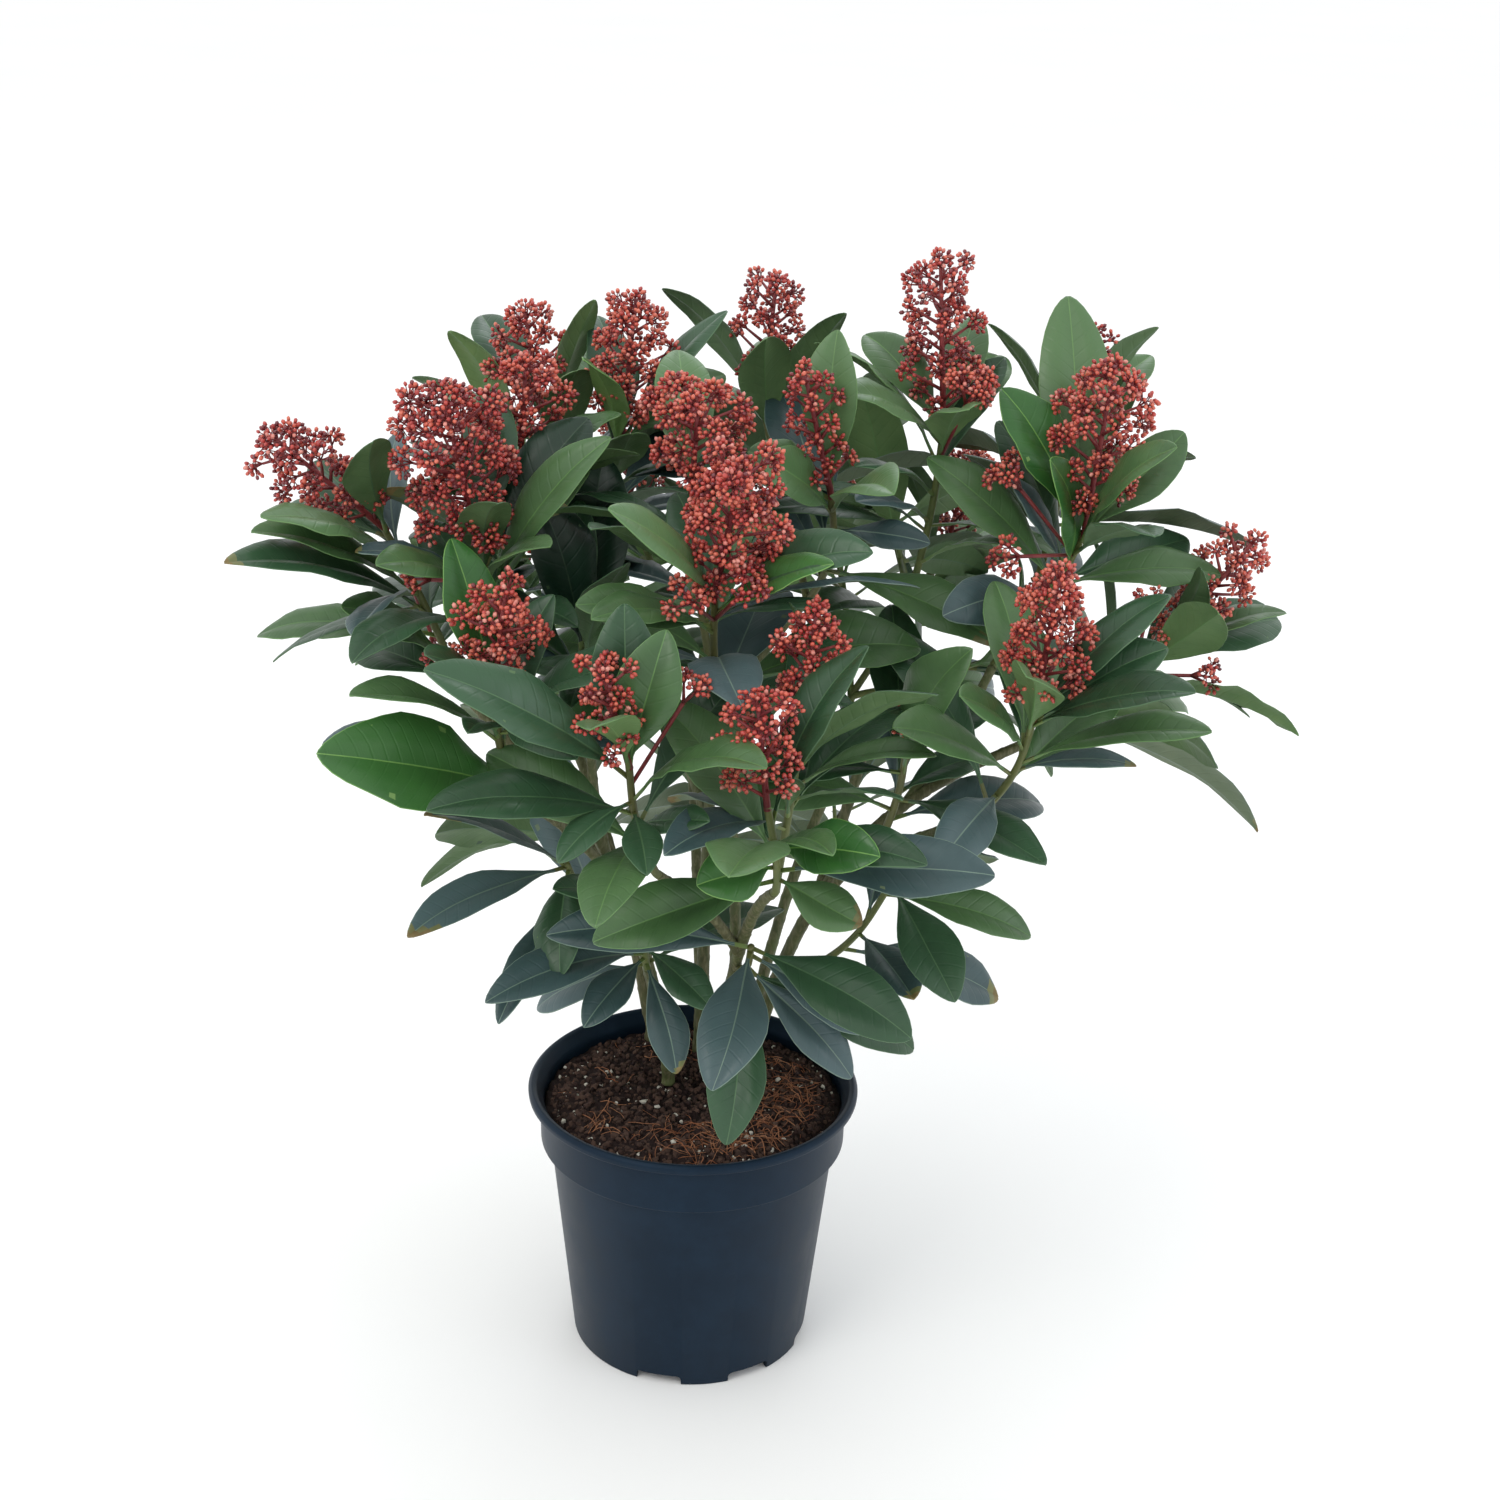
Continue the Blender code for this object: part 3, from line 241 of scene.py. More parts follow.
# The leaves that show best face this way as well as up their twigs
SHOWN_FACE = (0.0, -0.7, 0.4)
SHOWN_STRAY = 0.0025
SHOWN_SHRINK = 0.01

# Under the front of the crown the stems show: in front of this y, other leaves keep above this z
OPEN_BEFORE = -0.150
OPEN_BELOW = 0.330

# A fine leaf: its rows, the thickness of its blade, rib and stalk, and its side veins
LEAF_ROWS = 20
BLADE_THICKNESS = 0.00042
EDGE_THICKNESS = 0.00026
RIB_HALF_WIDTH = 0.00042
RIB_DEPTH = 0.0007
RIB_GROOVE = 0.00016
RIB_GROOVE_WIDTH = 1.3 * RIB_HALF_WIDTH
RIB_KEEL_WIDTH = 1.6 * RIB_HALF_WIDTH
MARGIN_WIDTH = 0.00030
PETIOLE_HALF_WIDTH = 0.0012
PETIOLE_DEPTH = 0.0014
TIP_PART = 0.3
BLADE_COLUMNS = (0.32, 0.66)
VEIN_PITCH = 0.0068
VEIN_SLANT = 0.8
VEIN_RELIEF = 0.00010
VEIN_WIDTH = 0.0009
LAST_ROW_STEP = 0.965
STALK_TO_BLADE = 0.12

# How each blade differs: the ranges of its waves, fold, bulge, edge roll, arch, droop and twist
OUTLINE_WAVES = (9, 14)
OUTLINE_WAVE_HEIGHT = 0.025
BLADE_FOLDS = (0.08, 0.34)
BLADE_BULGES = (0.05, 0.13)
BLADE_ROLLS = (0.02, 0.16)
BLADE_WAVES = (2.0, 3.8)
BLADE_WAVE_HEIGHTS = (0.025, 0.085)
BLADE_ARCHES = (0.6, 1.5)
TIP_DROOPS = (0.0, 0.05)
DROOPS_FROM = 0.7
BLADE_SWAYS = (-0.045, 0.045)
BLADE_TWISTS = (-0.5, 0.5)
TWISTS_FROM = 0.25

# How many rows a dry tip takes, how many more the yellowed edge round it, and how uneven it is
DRY_ROWS = (0.8, 3.2)
FADING_ROWS = 0.9
DRY_SLANTS = (-0.8, 0.8)
DRY_JITTERS = (-0.3, 0.3)

# The chances of each kind of leaf: on old low shoots, and low and high on the others
OLD_SHOOT_KINDS = {"old": 7, "dark": 3}
LOW_LEAF_KINDS = {"dark": 4, "green": 2, "old": 3}
HIGH_LEAF_KINDS = {"dark": 10, "green": 9, "fresh": 1}
LOW_LEAVES_UP_TO = 0.35

# Small inner leaves, further down the twigs than the solids' leaves, and of the low leaves' kinds
INNER_LEAVES = 3
INNER_LEAF_LENGTH = 0.062
INNER_LEAF_SPREAD = math.radians(68)
INNER_LEAVES_AT = (0.35, 0.85)
INNER_SPREADS = (0.6, 1.2)
INNER_LENGTHS = (0.75, 1.2)
INNER_WIDTHS = (0.85, 1.1)
INNER_KIND_STEP = 0.01

# Panicles in the solids: each branch and each small bunch is one pod
BLOOM_BRANCH_PITCH = 0.0175
BLOOM_BRANCH_RISE = 0.65
BLOOM_FIRST_AT = 0.08
BLOOM_LAST_AT = 0.84
BLOOM_TOP_FROM = 0.78
BLOOM_POD_RADIUS = 0.22
BUD_FULLEST_AT = 0.66
SPRAY_LEAVES_AT = 0.85
SPRAY_HALF_LENGTH = 0.52
SPRAY_POD_RADIUS = 0.45
BLOOM_FULLNESS = (0.30, 0.86)
BLOOM_SPREADS = (0.85, 1.1)

# Panicles here: more branches by the same rule, each with packed buds round its end
FINE_BRANCH_PITCH = 0.0032
FINE_SPREADS = (0.66, 1.18)
BRANCH_RADII = (0.00095, 0.00060)
BRANCH_SIDES = 6
BRANCH_SWAYS = (-0.12, 0.12)
BUD_LENGTH = 0.0028
BUD_WIDTH = 0.0021
BUD_SIZES = (0.86, 1.1)
BUD_PITCH = 0.0028
BUD_CLOSEST = 0.84 * BUD_PITCH
BUD_AREA = BUD_PITCH**2 * 0.8
BUD_BURIED_BY = 0.35 * BUD_WIDTH
BUD_LEFT_OUT = 0.18
PEDICEL_RADIUS = 0.00030
PEDICEL_SIDES = 3
PEDICEL_ENDS_AT = 0.3
BUNCH_RADIUS = 0.140
BUNCH_SIZES = (0.85, 1.1)
BUNCH_FORKS = 5
BUNCH_FORK_RADIUS = 1.3 * PEDICEL_RADIUS
BUNCH_FORK_SIDES = 4
BUNCH_FORK_REACH = 0.42
BUNCH_HUB_BACK = 0.55
BUNCH_SHELL = (0.74, 1.12)
BUNCH_BACK_OPEN = -0.3
FEWEST_BUDS = 9

# A small bunch on its own stalk is three bunches round a hub
SPRAY_BUNCHES = 3
SPRAY_HUB = 0.3
SPRAY_SPREAD = 0.34
SPRAY_BUNCH_RADIUS = 0.2

# Where the pieces that split the crown's panicles meet
BACK_FROM = 0.07
LEFT_UP_TO = -0.06
RIGHT_FROM = 0.10


class Stem(NamedTuple):
    """A limb that rises from the soil."""

    foot: tuple
    tip: tuple
    foot_radius: float
    tip_radius: float


class Bough(NamedTuple):
    """A limb that leaves its parent some way along it."""

    parent: str
    leaves_at: float
    tip: tuple
    foot_radius: float
    tip_radius: float


class Shoot(NamedTuple):
    """A leafy twig of one mass, up to its head, and the panicle of buds from there to the tip."""

    mass: str
    head: tuple
    tip: tuple
    bloom_width: float
    leaves: int
    sag: float = 0.18


class Spray(NamedTuple):
    """A small bunch of buds on a thin stalk of its own."""

    shoot: str
    centre: tuple
    width: float


STEMS = {
    "stem_left": Stem((-0.014, 0.038), (-0.046, -0.006, 0.276), 0.0035, 0.0028),
    "stem_front_left": Stem((-0.013, 0.010), (-0.024, -0.027, 0.222), 0.0027, 0.0020),
    "stem_front": Stem((0.012, 0.010), (0.022, -0.046, 0.246), 0.0033, 0.0028),
    "stem_right": Stem((0.030, 0.034), (0.070, 0.004, 0.262), 0.0037, 0.0031),
    "stem_middle": Stem((0.004, 0.046), (0.006, 0.034, 0.296), 0.0035, 0.0029),
    "stem_back_left": Stem((-0.022, 0.058), (-0.066, 0.098, 0.292), 0.0032, 0.0025),
    "stem_back": Stem((0.004, 0.072), (-0.004, 0.122, 0.288), 0.0031, 0.0025),
    "stem_back_right": Stem((0.030, 0.062), (0.080, 0.098, 0.290), 0.0032, 0.0025),
}

BOUGHS = {
    "bough_left": Bough("stem_left", 1.0, (-0.086, -0.034, 0.362), 0.0030, 0.0024),
    "bough_far_left": Bough("stem_left", 0.92, (-0.112, -0.012, 0.358), 0.0028, 0.0022),
    "bough_left_front": Bough("stem_left", 0.78, (-0.076, -0.070, 0.326), 0.0027, 0.0021),
    "bough_front": Bough("stem_front", 1.0, (0.034, -0.108, 0.302), 0.0029, 0.0023),
    "bough_front_left": Bough("stem_front", 0.90, (-0.018, -0.104, 0.308), 0.0026, 0.0021),
    "bough_middle_left": Bough("stem_left", 0.97, (-0.052, -0.030, 0.340), 0.0025, 0.0022),
    "bough_middle": Bough("stem_front", 0.78, (0.012, -0.052, 0.352), 0.0027, 0.0023),
    "bough_right": Bough("stem_right", 1.0, (0.158, 0.006, 0.330), 0.0032, 0.0024),
    "bough_right_front": Bough("stem_right", 0.90, (0.122, -0.052, 0.312), 0.0027, 0.0022),
    "bough_right_upper": Bough("bough_right", 0.42, (0.144, 0.024, 0.364), 0.0026, 0.0022),
    "bough_right_middle": Bough("stem_right", 0.66, (0.088, -0.036, 0.300), 0.0025, 0.0021),
    "bough_top_right": Bough("stem_right", 0.80, (0.094, 0.024, 0.374), 0.0028, 0.0023),
    "bough_top_middle": Bough("stem_middle", 1.0, (0.040, 0.040, 0.376), 0.0030, 0.0023),
    "bough_top_left": Bough("stem_middle", 0.85, (-0.040, 0.052, 0.368), 0.0027, 0.0022),
}

# Each mass of foliage: the limb that it grows on, and how far along that limb
MASSES = {
    "far_left": ("bough_far_left", 1.0),
    "left": ("bough_left", 1.0),
    "left_front": ("bough_left_front", 1.0),
    "top_left": ("bough_top_left", 1.0),
    "middle": ("bough_middle", 1.0),
    "middle_left": ("bough_middle_left", 1.0),
    "front_left": ("bough_front_left", 1.0),
    "front": ("bough_front", 1.0),
    "top_middle": ("bough_top_middle", 1.0),
    "top_right": ("bough_top_right", 1.0),
    "right_middle": ("bough_right_middle", 1.0),
    "right_upper": ("bough_right_upper", 1.0),
    "right_front": ("bough_right_front", 1.0),
    "far_right": ("bough_right", 1.0),
    "back_left": ("stem_back_left", 1.0),
    "back": ("stem_back", 1.0),
    "back_right": ("stem_back_right", 1.0),
    "low_left": ("stem_left", 0.60),
    "low_front_left": ("stem_front_left", 1.0),
    "low_front": ("stem_front", 0.84),
    "low_right": ("stem_right", 0.50),
    "low_back_left": ("stem_back_left", 0.62),
    "low_back": ("stem_back", 0.62),
    "low_back_right": ("stem_back_right", 0.62),
}

SHOOTS = {
    "far_left": Shoot("far_left", (-0.147, -0.020, 0.443), (-0.199, -0.030, 0.492), 0.042, 5),
    "left": Shoot("left", (-0.101, -0.040, 0.435), (-0.116, -0.060, 0.523), 0.054, 7),
    "left_upper": Shoot("left", (-0.086, 0.004, 0.462), (-0.082, -0.004, 0.522), 0.042, 7),
    "left_front": Shoot("left_front", (-0.091, -0.100, 0.392), (-0.084, -0.120, 0.448), 0.040, 8),
    "top_left": Shoot("top_left", (-0.040, 0.050, 0.469), (-0.033, 0.050, 0.542), 0.044, 8),
    "left_back": Shoot("top_left", (-0.079, 0.084, 0.468), (-0.090, 0.088, 0.529), 0.038, 9),
    "middle": Shoot("middle", (0.005, -0.080, 0.431), (0.015, -0.100, 0.499), 0.052, 7),
    "middle_upper": Shoot("middle", (-0.006, -0.030, 0.462), (-0.003, -0.040, 0.517), 0.050, 7),
    "middle_left": Shoot("middle_left", (-0.056, -0.030, 0.392), (-0.058, -0.034, 0.402), 0.0, 6),
    "right_middle": Shoot("right_middle", (0.096, -0.052, 0.352), (0.100, -0.056, 0.380), 0.022, 7),
    "front_left": Shoot("front_left", (-0.031, -0.140, 0.376), (-0.043, -0.155, 0.428), 0.034, 7),
    "front": Shoot("front", (0.028, -0.150, 0.362), (0.022, -0.160, 0.417), 0.036, 6),
    "front_middle": Shoot("front", (0.044, -0.110, 0.383), (0.048, -0.120, 0.443), 0.037, 7),
    "middle_right": Shoot("top_middle", (0.059, -0.010, 0.460), (0.043, -0.020, 0.525), 0.030, 7),
    "top_middle": Shoot("top_middle", (0.029, 0.086, 0.478), (0.035, 0.090, 0.545), 0.040, 8),
    "top_right": Shoot("top_right", (0.114, 0.030, 0.482), (0.108, 0.030, 0.567), 0.041, 8),
    "shaded": Shoot("top_right", (0.090, 0.108, 0.432), (0.083, 0.112, 0.477), 0.026, 7),
    "right_upper": Shoot("right_upper", (0.180, 0.000, 0.440), (0.188, -0.004, 0.527), 0.048, 6),
    "right_back": Shoot("right_upper", (0.182, 0.076, 0.468), (0.194, 0.086, 0.523), 0.032, 7),
    "right_front": Shoot("right_front", (0.150, -0.080, 0.377), (0.154, -0.100, 0.457), 0.041, 8),
    "far_right": Shoot("far_right", (0.221, 0.020, 0.371), (0.270, 0.020, 0.437), 0.037, 9),
    "back_left": Shoot("back_left", (-0.108, 0.104, 0.392), (-0.130, 0.118, 0.442), 0.038, 8),
    "back_left_low": Shoot("back_left", (-0.082, 0.160, 0.366), (-0.098, 0.184, 0.418), 0.036, 7),
    "back": Shoot("back", (0.012, 0.166, 0.388), (0.010, 0.186, 0.442), 0.040, 8),
    "back_upper": Shoot("back", (-0.036, 0.142, 0.404), (-0.044, 0.156, 0.458), 0.036, 7),
    "back_right": Shoot("back_right", (0.072, 0.162, 0.392), (0.080, 0.182, 0.448), 0.040, 8),
    "back_right_upper": Shoot("back_right", (0.130, 0.136, 0.390), (0.146, 0.154, 0.444), 0.038, 7),
    "back_right_low": Shoot("back_right", (0.156, 0.090, 0.346), (0.186, 0.104, 0.390), 0.030, 7),
    "low_left": Shoot("low_left", (-0.064, -0.022, 0.276), (-0.070, -0.026, 0.284), 0.0, 2, OLD_SAG),
    "low_front_left": Shoot(
        "low_front_left", (-0.026, -0.034, 0.240), (-0.027, -0.036, 0.246), 0.0, 2, OLD_SAG
    ),
    "low_front": Shoot("low_front", (0.026, -0.058, 0.250), (0.027, -0.062, 0.256), 0.0, 2, OLD_SAG),
    "low_right": Shoot("low_right", (0.096, -0.020, 0.268), (0.102, -0.024, 0.275), 0.0, 3, OLD_SAG),
    "low_back_left": Shoot(
        "low_back_left", (-0.070, 0.110, 0.262), (-0.076, 0.114, 0.270), 0.0, 7, OLD_SAG
    ),
    "low_back": Shoot("low_back", (0.008, 0.136, 0.254), (0.010, 0.142, 0.260), 0.0, 7, OLD_SAG),
    "low_back_right": Shoot(
        "low_back_right", (0.086, 0.112, 0.262), (0.092, 0.116, 0.270), 0.0, 7, OLD_SAG
    ),
}

SPRAYS = [
    Spray("far_left", (-0.163, -0.012, 0.424), 0.020),
    Spray("far_left", (-0.126, -0.004, 0.380), 0.022),
    Spray("left", (-0.128, -0.052, 0.429), 0.018),
    Spray("middle", (-0.008, -0.112, 0.441), 0.024),
    Spray("middle", (0.018, -0.112, 0.446), 0.022),
    Spray("front_left", (-0.005, -0.142, 0.411), 0.022),
    Spray("top_right", (0.124, 0.008, 0.506), 0.030),
    Spray("right_upper", (0.143, -0.002, 0.468), 0.028),
    Spray("right_upper", (0.142, -0.022, 0.435), 0.024),
    Spray("far_right", (0.244, 0.000, 0.370), 0.022),
    Spray("far_right", (0.214, -0.002, 0.408), 0.018),
]

# The leaves that show best: the shoot, how far up its twig the leaf stands, where its tip is
# from its foot, its width, and its kind
SHOWN_LEAVES = [
    ("far_left", 0.50, (-0.080, -0.062, 0.044), 0.032, "dark"),
    ("far_left", 0.62, (-0.064, -0.050, 0.046), 0.030, "green"),
    ("far_left", 0.80, (-0.052, -0.060, 0.040), 0.030, "green"),
    ("far_left", 0.95, (-0.061, 0.044, -0.004), 0.026, "dark"),
    ("far_left", 0.36, (-0.092, 0.030, -0.010), 0.024, "green"),
    ("far_left", 0.20, (-0.044, -0.036, 0.040), 0.028, "green"),
    ("far_left", 0.08, (-0.056, 0.050, 0.004), 0.027, "dark"),
    ("far_left", 1.00, (-0.041, 0.053, 0.019), 0.024, "dark"),
    ("left_front", 0.95, (-0.024, -0.041, 0.037), 0.028, "dark"),
    ("left_front", 0.12, (-0.082, -0.072, 0.050), 0.044, "fresh"),
    ("left", 0.66, (-0.040, -0.064, 0.044), 0.028, "green"),
    ("left", 0.84, (0.032, -0.043, 0.032), 0.026, "green"),
    ("left", 0.92, (0.038, 0.036, 0.066), 0.032, "deep"),
    ("left", 0.70, (0.044, -0.041, 0.069), 0.026, "green"),
    ("middle_left", 0.70, (0.006, 0.052, 0.092), 0.038, "deep"),
    ("middle_left", 0.90, (-0.020, -0.010, 0.080), 0.032, "deep"),
    ("left_upper", 1.00, (0.036, -0.026, 0.041), 0.024, "green"),
    ("top_left", 0.75, (0.011, -0.044, 0.040), 0.026, "green"),
    ("top_left", 1.00, (0.050, 0.019, 0.033), 0.026, "green"),
    ("middle", 0.96, (-0.047, -0.052, 0.048), 0.026, "green"),
    ("middle", 0.25, (0.022, 0.076, 0.036), 0.040, "old"),
    ("middle", 0.80, (-0.059, -0.030, 0.021), 0.024, "green"),
    ("middle", 0.90, (0.049, -0.038, 0.036), 0.022, "fresh"),
    ("top_middle", 0.80, (-0.006, -0.040, 0.063), 0.028, "green"),
    ("top_middle", 0.95, (0.042, 0.050, 0.027), 0.026, "green"),
    ("middle_right", 0.96, (-0.036, -0.014, 0.049), 0.028, "green"),
    ("middle_right", 0.88, (-0.034, -0.038, 0.035), 0.026, "green"),
    ("top_right", 1.00, (-0.036, 0.036, 0.042), 0.026, "green"),
    ("top_right", 0.94, (-0.040, -0.038, 0.044), 0.030, "green"),
    ("top_right", 0.88, (0.013, -0.049, 0.042), 0.028, "green"),
    ("top_right", 0.95, (0.033, 0.063, 0.031), 0.030, "green"),
    ("right_upper", 0.98, (-0.051, 0.005, 0.061), 0.032, "fresh"),
    ("right_upper", 0.92, (-0.006, 0.045, 0.110), 0.036, "green"),
    ("right_upper", 1.00, (0.038, 0.022, 0.061), 0.034, "green"),
    ("right_upper", 0.94, (0.026, -0.060, 0.064), 0.028, "green"),
    ("right_upper", 0.74, (-0.014, -0.034, 0.062), 0.034, "fresh"),
    ("right_upper", 0.60, (-0.064, 0.000, 0.064), 0.028, "green"),
    ("right_upper", 0.65, (0.070, 0.042, 0.010), 0.032, "dark"),
    ("right_back", 1.00, (0.046, 0.042, 0.036), 0.024, "green"),
    ("right_front", 1.00, (0.034, -0.035, 0.057), 0.028, "dark"),
    ("right_front", 0.95, (0.053, -0.053, 0.045), 0.028, "dark"),
    ("right_front", 0.78, (-0.034, -0.040, 0.046), 0.028, "green"),
    ("right_middle", 0.70, (0.030, -0.030, 0.070), 0.030, "green"),
    ("far_right", 0.95, (0.019, -0.035, 0.060), 0.022, "dark"),
    ("far_right", 1.00, (0.074, 0.038, 0.012), 0.030, "dark"),
    ("far_right", 0.55, (0.012, -0.045, 0.038), 0.028, "green"),
    ("front_left", 0.90, (-0.082, -0.030, 0.060), 0.032, "dark"),
    ("front_left", 1.00, (0.014, -0.006, 0.064), 0.028, "green"),
    ("front", 0.65, (0.041, -0.040, 0.016), 0.026, "fresh"),
    ("front", 0.45, (-0.034, -0.022, 0.002), 0.026, "fresh"),
    ("front", 0.30, (0.036, -0.024, -0.010), 0.022, "green"),
    ("low_left", 1.00, (-0.070, -0.068, -0.004), 0.022, "old"),
    ("low_left", 0.80, (-0.034, -0.068, -0.040), 0.018, "old"),
    ("low_left", 0.95, (-0.002, -0.054, -0.030), 0.027, "dark"),
    ("low_front_left", 0.60, (-0.074, -0.050, 0.004), 0.024, "old"),
    ("low_front_left", 0.45, (-0.028, -0.044, -0.014), 0.020, "old"),
    ("low_front_left", 0.20, (-0.056, 0.020, -0.036), 0.022, "old"),
    ("low_front_left", 0.80, (0.034, -0.030, -0.018), 0.020, "dark"),
    ("low_front_left", 0.30, (0.016, -0.034, -0.044), 0.020, "old"),
    ("low_front", 1.00, (-0.096, -0.020, 0.016), 0.026, "old"),
    ("low_front", 0.92, (-0.018, -0.070, -0.036), 0.032, "old"),
    ("low_front", 0.15, (-0.007, -0.056, -0.064), 0.028, "dark"),
    ("low_front", 0.98, (0.074, -0.046, -0.022), 0.032, "dark"),
    ("low_front", 0.80, (0.060, -0.010, -0.036), 0.024, "old"),
    ("low_front", 0.45, (0.052, -0.020, -0.050), 0.024, "old"),
    ("low_right", 0.60, (0.024, -0.052, -0.010), 0.026, "old"),
    ("low_right", 1.00, (0.028, -0.062, -0.030), 0.030, "dark"),
    ("low_right", 0.90, (0.074, -0.004, -0.020), 0.024, "green"),
]


def bezier(start, bend, end, t):
    """The point at t on a curve that leaves start towards bend and reaches end from it."""
    return start * (1 - t) ** 2 + bend * (2 * t * (1 - t)) + end * t**2


def mix(low, high, t):
    """The value that is this part of the way from low to high."""
    return low + (high - low) * t


def body_radius(height):
    """The pot's outer radius below its collar."""
    return mix(FOOT_RADIUS, BODY_TOP_RADIUS, height / COLLAR_BOTTOM)


class Limb(NamedTuple):
    """The centre line and radii of a limb."""

    places: list
    radii: list

    def at(self, part):
        """The place, heading and radius that lie this part of the way along."""
        runs = [(end - start).length for start, end in zip(self.places, self.places[1:])]
        left = part * sum(runs)
        number = 0
        while left > runs[number] and number < len(runs) - 1:
            left -= runs[number]
            number += 1
        share = min(left / runs[number], 1.0)
        start, end = self.places[number], self.places[number + 1]
        radius = mix(self.radii[number], self.radii[number + 1], share)
        return start.lerp(end, share), (end - start).normalized(), radius

    def fattened(self, room):
        """A copy that reaches this much further all round."""
        first = self.places[0] - self.at(0.0)[1] * room
        last = self.places[-1] + self.at(1.0)[1] * room
        return Limb([first, *self.places[1:-1], last], [radius + room for radius in self.radii])


def square_pair(heading):
    """Two directions square to a heading: level to its right, and the one square to both."""
    across = Vector((0.0, 1.0, 0.0)).cross(heading).normalized()
    return across, heading.cross(across)


def turned(one, other, turn):
    """The direction that lies this turn round from one towards the other."""
    return one * math.cos(turn) + other * math.sin(turn)


def curved_limb(start, heading, tip, foot_radius, tip_radius, joints):
    """A limb that starts along its heading and bends up to its tip."""
    reach = (tip - start).length
    bend = start + heading * reach * 0.5
    places = [start] + [bezier(start, bend, tip, i / joints) for i in range(1, joints + 1)]
    places.insert(1, start + heading * LIMB_FIRST_RUN)
    radii = [mix(foot_radius, tip_radius, i / joints) for i in range(joints + 1)]
    radii.insert(0, foot_radius)
    return Limb(places, radii)


def stem_limb(stem):
    """A stem that flares where it leaves the soil."""
    foot = Vector((*stem.foot, SOIL_TOP + GAP))
    tip = Vector(stem.tip)
    lean = Vector((tip.x - foot.x, tip.y - foot.y, 0.0)) * STEM_LEAN
    bend = foot + lean + Vector((0.0, 0.0, (tip.z - foot.z) * STEM_BEND))
    rises = [0.0, *FLARE_RISES]
    rises += [mix(FLARE_END, 1.0, i / LIMB_JOINTS) for i in range(LIMB_JOINTS + 1)]
    places = [bezier(foot, bend, tip, t) for t in rises]
    places[1].xy = foot.xy
    radii = []
    for t, place in zip(rises, places):
        flare = 1 + FLARE * math.exp(-(place.z - foot.z) / FLARE_HEIGHT)
        radii.append(mix(stem.foot_radius, stem.tip_radius, t) * flare)
    return Limb(places, radii)


def plan_limbs():
    """Every stem and bough, parents before their children."""
    limbs = {name: stem_limb(stem) for name, stem in STEMS.items()}
    for name, bough in BOUGHS.items():
        start, heading, _ = limbs[bough.parent].at(bough.leaves_at)
        tip = Vector(bough.tip)
        if bough.leaves_at == 1.0:
            start = start + heading * GAP
        else:
            heading = (heading + (tip - start).normalized() * 2).normalized()
        limbs[name] = curved_limb(
            start, heading, tip, bough.foot_radius, bough.tip_radius, LIMB_JOINTS
        )
    return limbs


def twig_limb(start, heading, shoot):
    """A shoot's twig up to its head, arriving in line with its panicle."""
    head = Vector(shoot.head)
    axis = (Vector(shoot.tip) - head).normalized()
    reach = (head - start).length
    bend = (start + heading * reach / 2 + head - axis * reach / 2) / 2
    places = [start, start + heading * TWIG_FIRST_RUN]
    places += [bezier(start, bend, head, (i + 1) / TWIG_JOINTS) for i in range(TWIG_JOINTS)]
    radii = [mix(TWIG_RADIUS, HEAD_RADIUS, i / (len(places) - 1)) for i in range(len(places))]
    return Limb(places, radii)


def plan_twigs(limbs):
    """The twig of every shoot: a mass's first shoot starts on its limb and the others fork from it."""
    twigs = {}
    firsts = {}
    for name, shoot in SHOOTS.items():
        head = Vector(shoot.head)
        if shoot.mass in firsts:
            start, heading, _ = twigs[firsts[shoot.mass]].at(FORK_AT)
            heading = (heading + (head - start).normalized()).normalized()
        else:
            firsts[shoot.mass] = name
            limb, part = MASSES[shoot.mass]
            start, heading, radius = limbs[limb].at(part)
            if part == 1.0:
                start = start + heading * GAP
            else:
                outward = head - start
                heading = (outward - heading * outward.dot(heading)).normalized()
                start = start + heading * (radius + GAP * 1.5)
        twigs[name] = twig_limb(start, heading, shoot)
    return twigs


def whole_twig(name, twig):
    """A shoot's twig, carried on as the stalk of its panicle."""
    shoot = SHOOTS[name]
    if shoot.bloom_width == 0:
        return twig
    head = Vector(shoot.head)
    reach = Vector(shoot.tip) - head
    places = twig.places + [head + reach * 0.5, head + reach * 0.9]
    radii = twig.radii + [mix(HEAD_RADIUS, BLOOM_TIP_RADIUS, 0.5), BLOOM_TIP_RADIUS]
    return Limb(places, radii)


def put_in(collection, name, shape, materials):
    """Makes an object of a bmesh and frees the bmesh."""
    mesh = bpy.data.meshes.new(name)
    shape.to_mesh(mesh)
    shape.free()
    for material in materials:
        mesh.materials.append(material)
    obj = bpy.data.objects.new(name, mesh)
    collection.objects.link(obj)
    return obj


def round_limb(name, collection, places, radii, roundness, material):
    """A limb along the given places, with flat ends square to its first and last run."""
    curve = bpy.data.curves.new(name, "CURVE")
    curve.dimensions = "3D"
    curve.bevel_depth = 1.0
    curve.bevel_resolution = roundness
    curve.use_fill_caps = True
    spline = curve.splines.new("POLY")
    spline.points.add(len(places) - 1)
    for knot, place, radius in zip(spline.points, places, radii):
        knot.co = (*place, 1.0)
        knot.radius = radius
    tube = bpy.data.objects.new(name, curve)
    collection.objects.link(tube)
    bpy.context.view_layer.update()
    graph = bpy.context.evaluated_depsgraph_get()
    made = bpy.data.meshes.new_from_object(tube.evaluated_get(graph))
    bpy.data.objects.remove(tube)
    bpy.data.curves.remove(curve)
    shape = bmesh.new()
    shape.from_mesh(made)
    bpy.data.meshes.remove(made)
    bmesh.ops.remove_doubles(shape, verts=shape.verts, dist=0.000001)
    return put_in(collection, name, shape, [material])


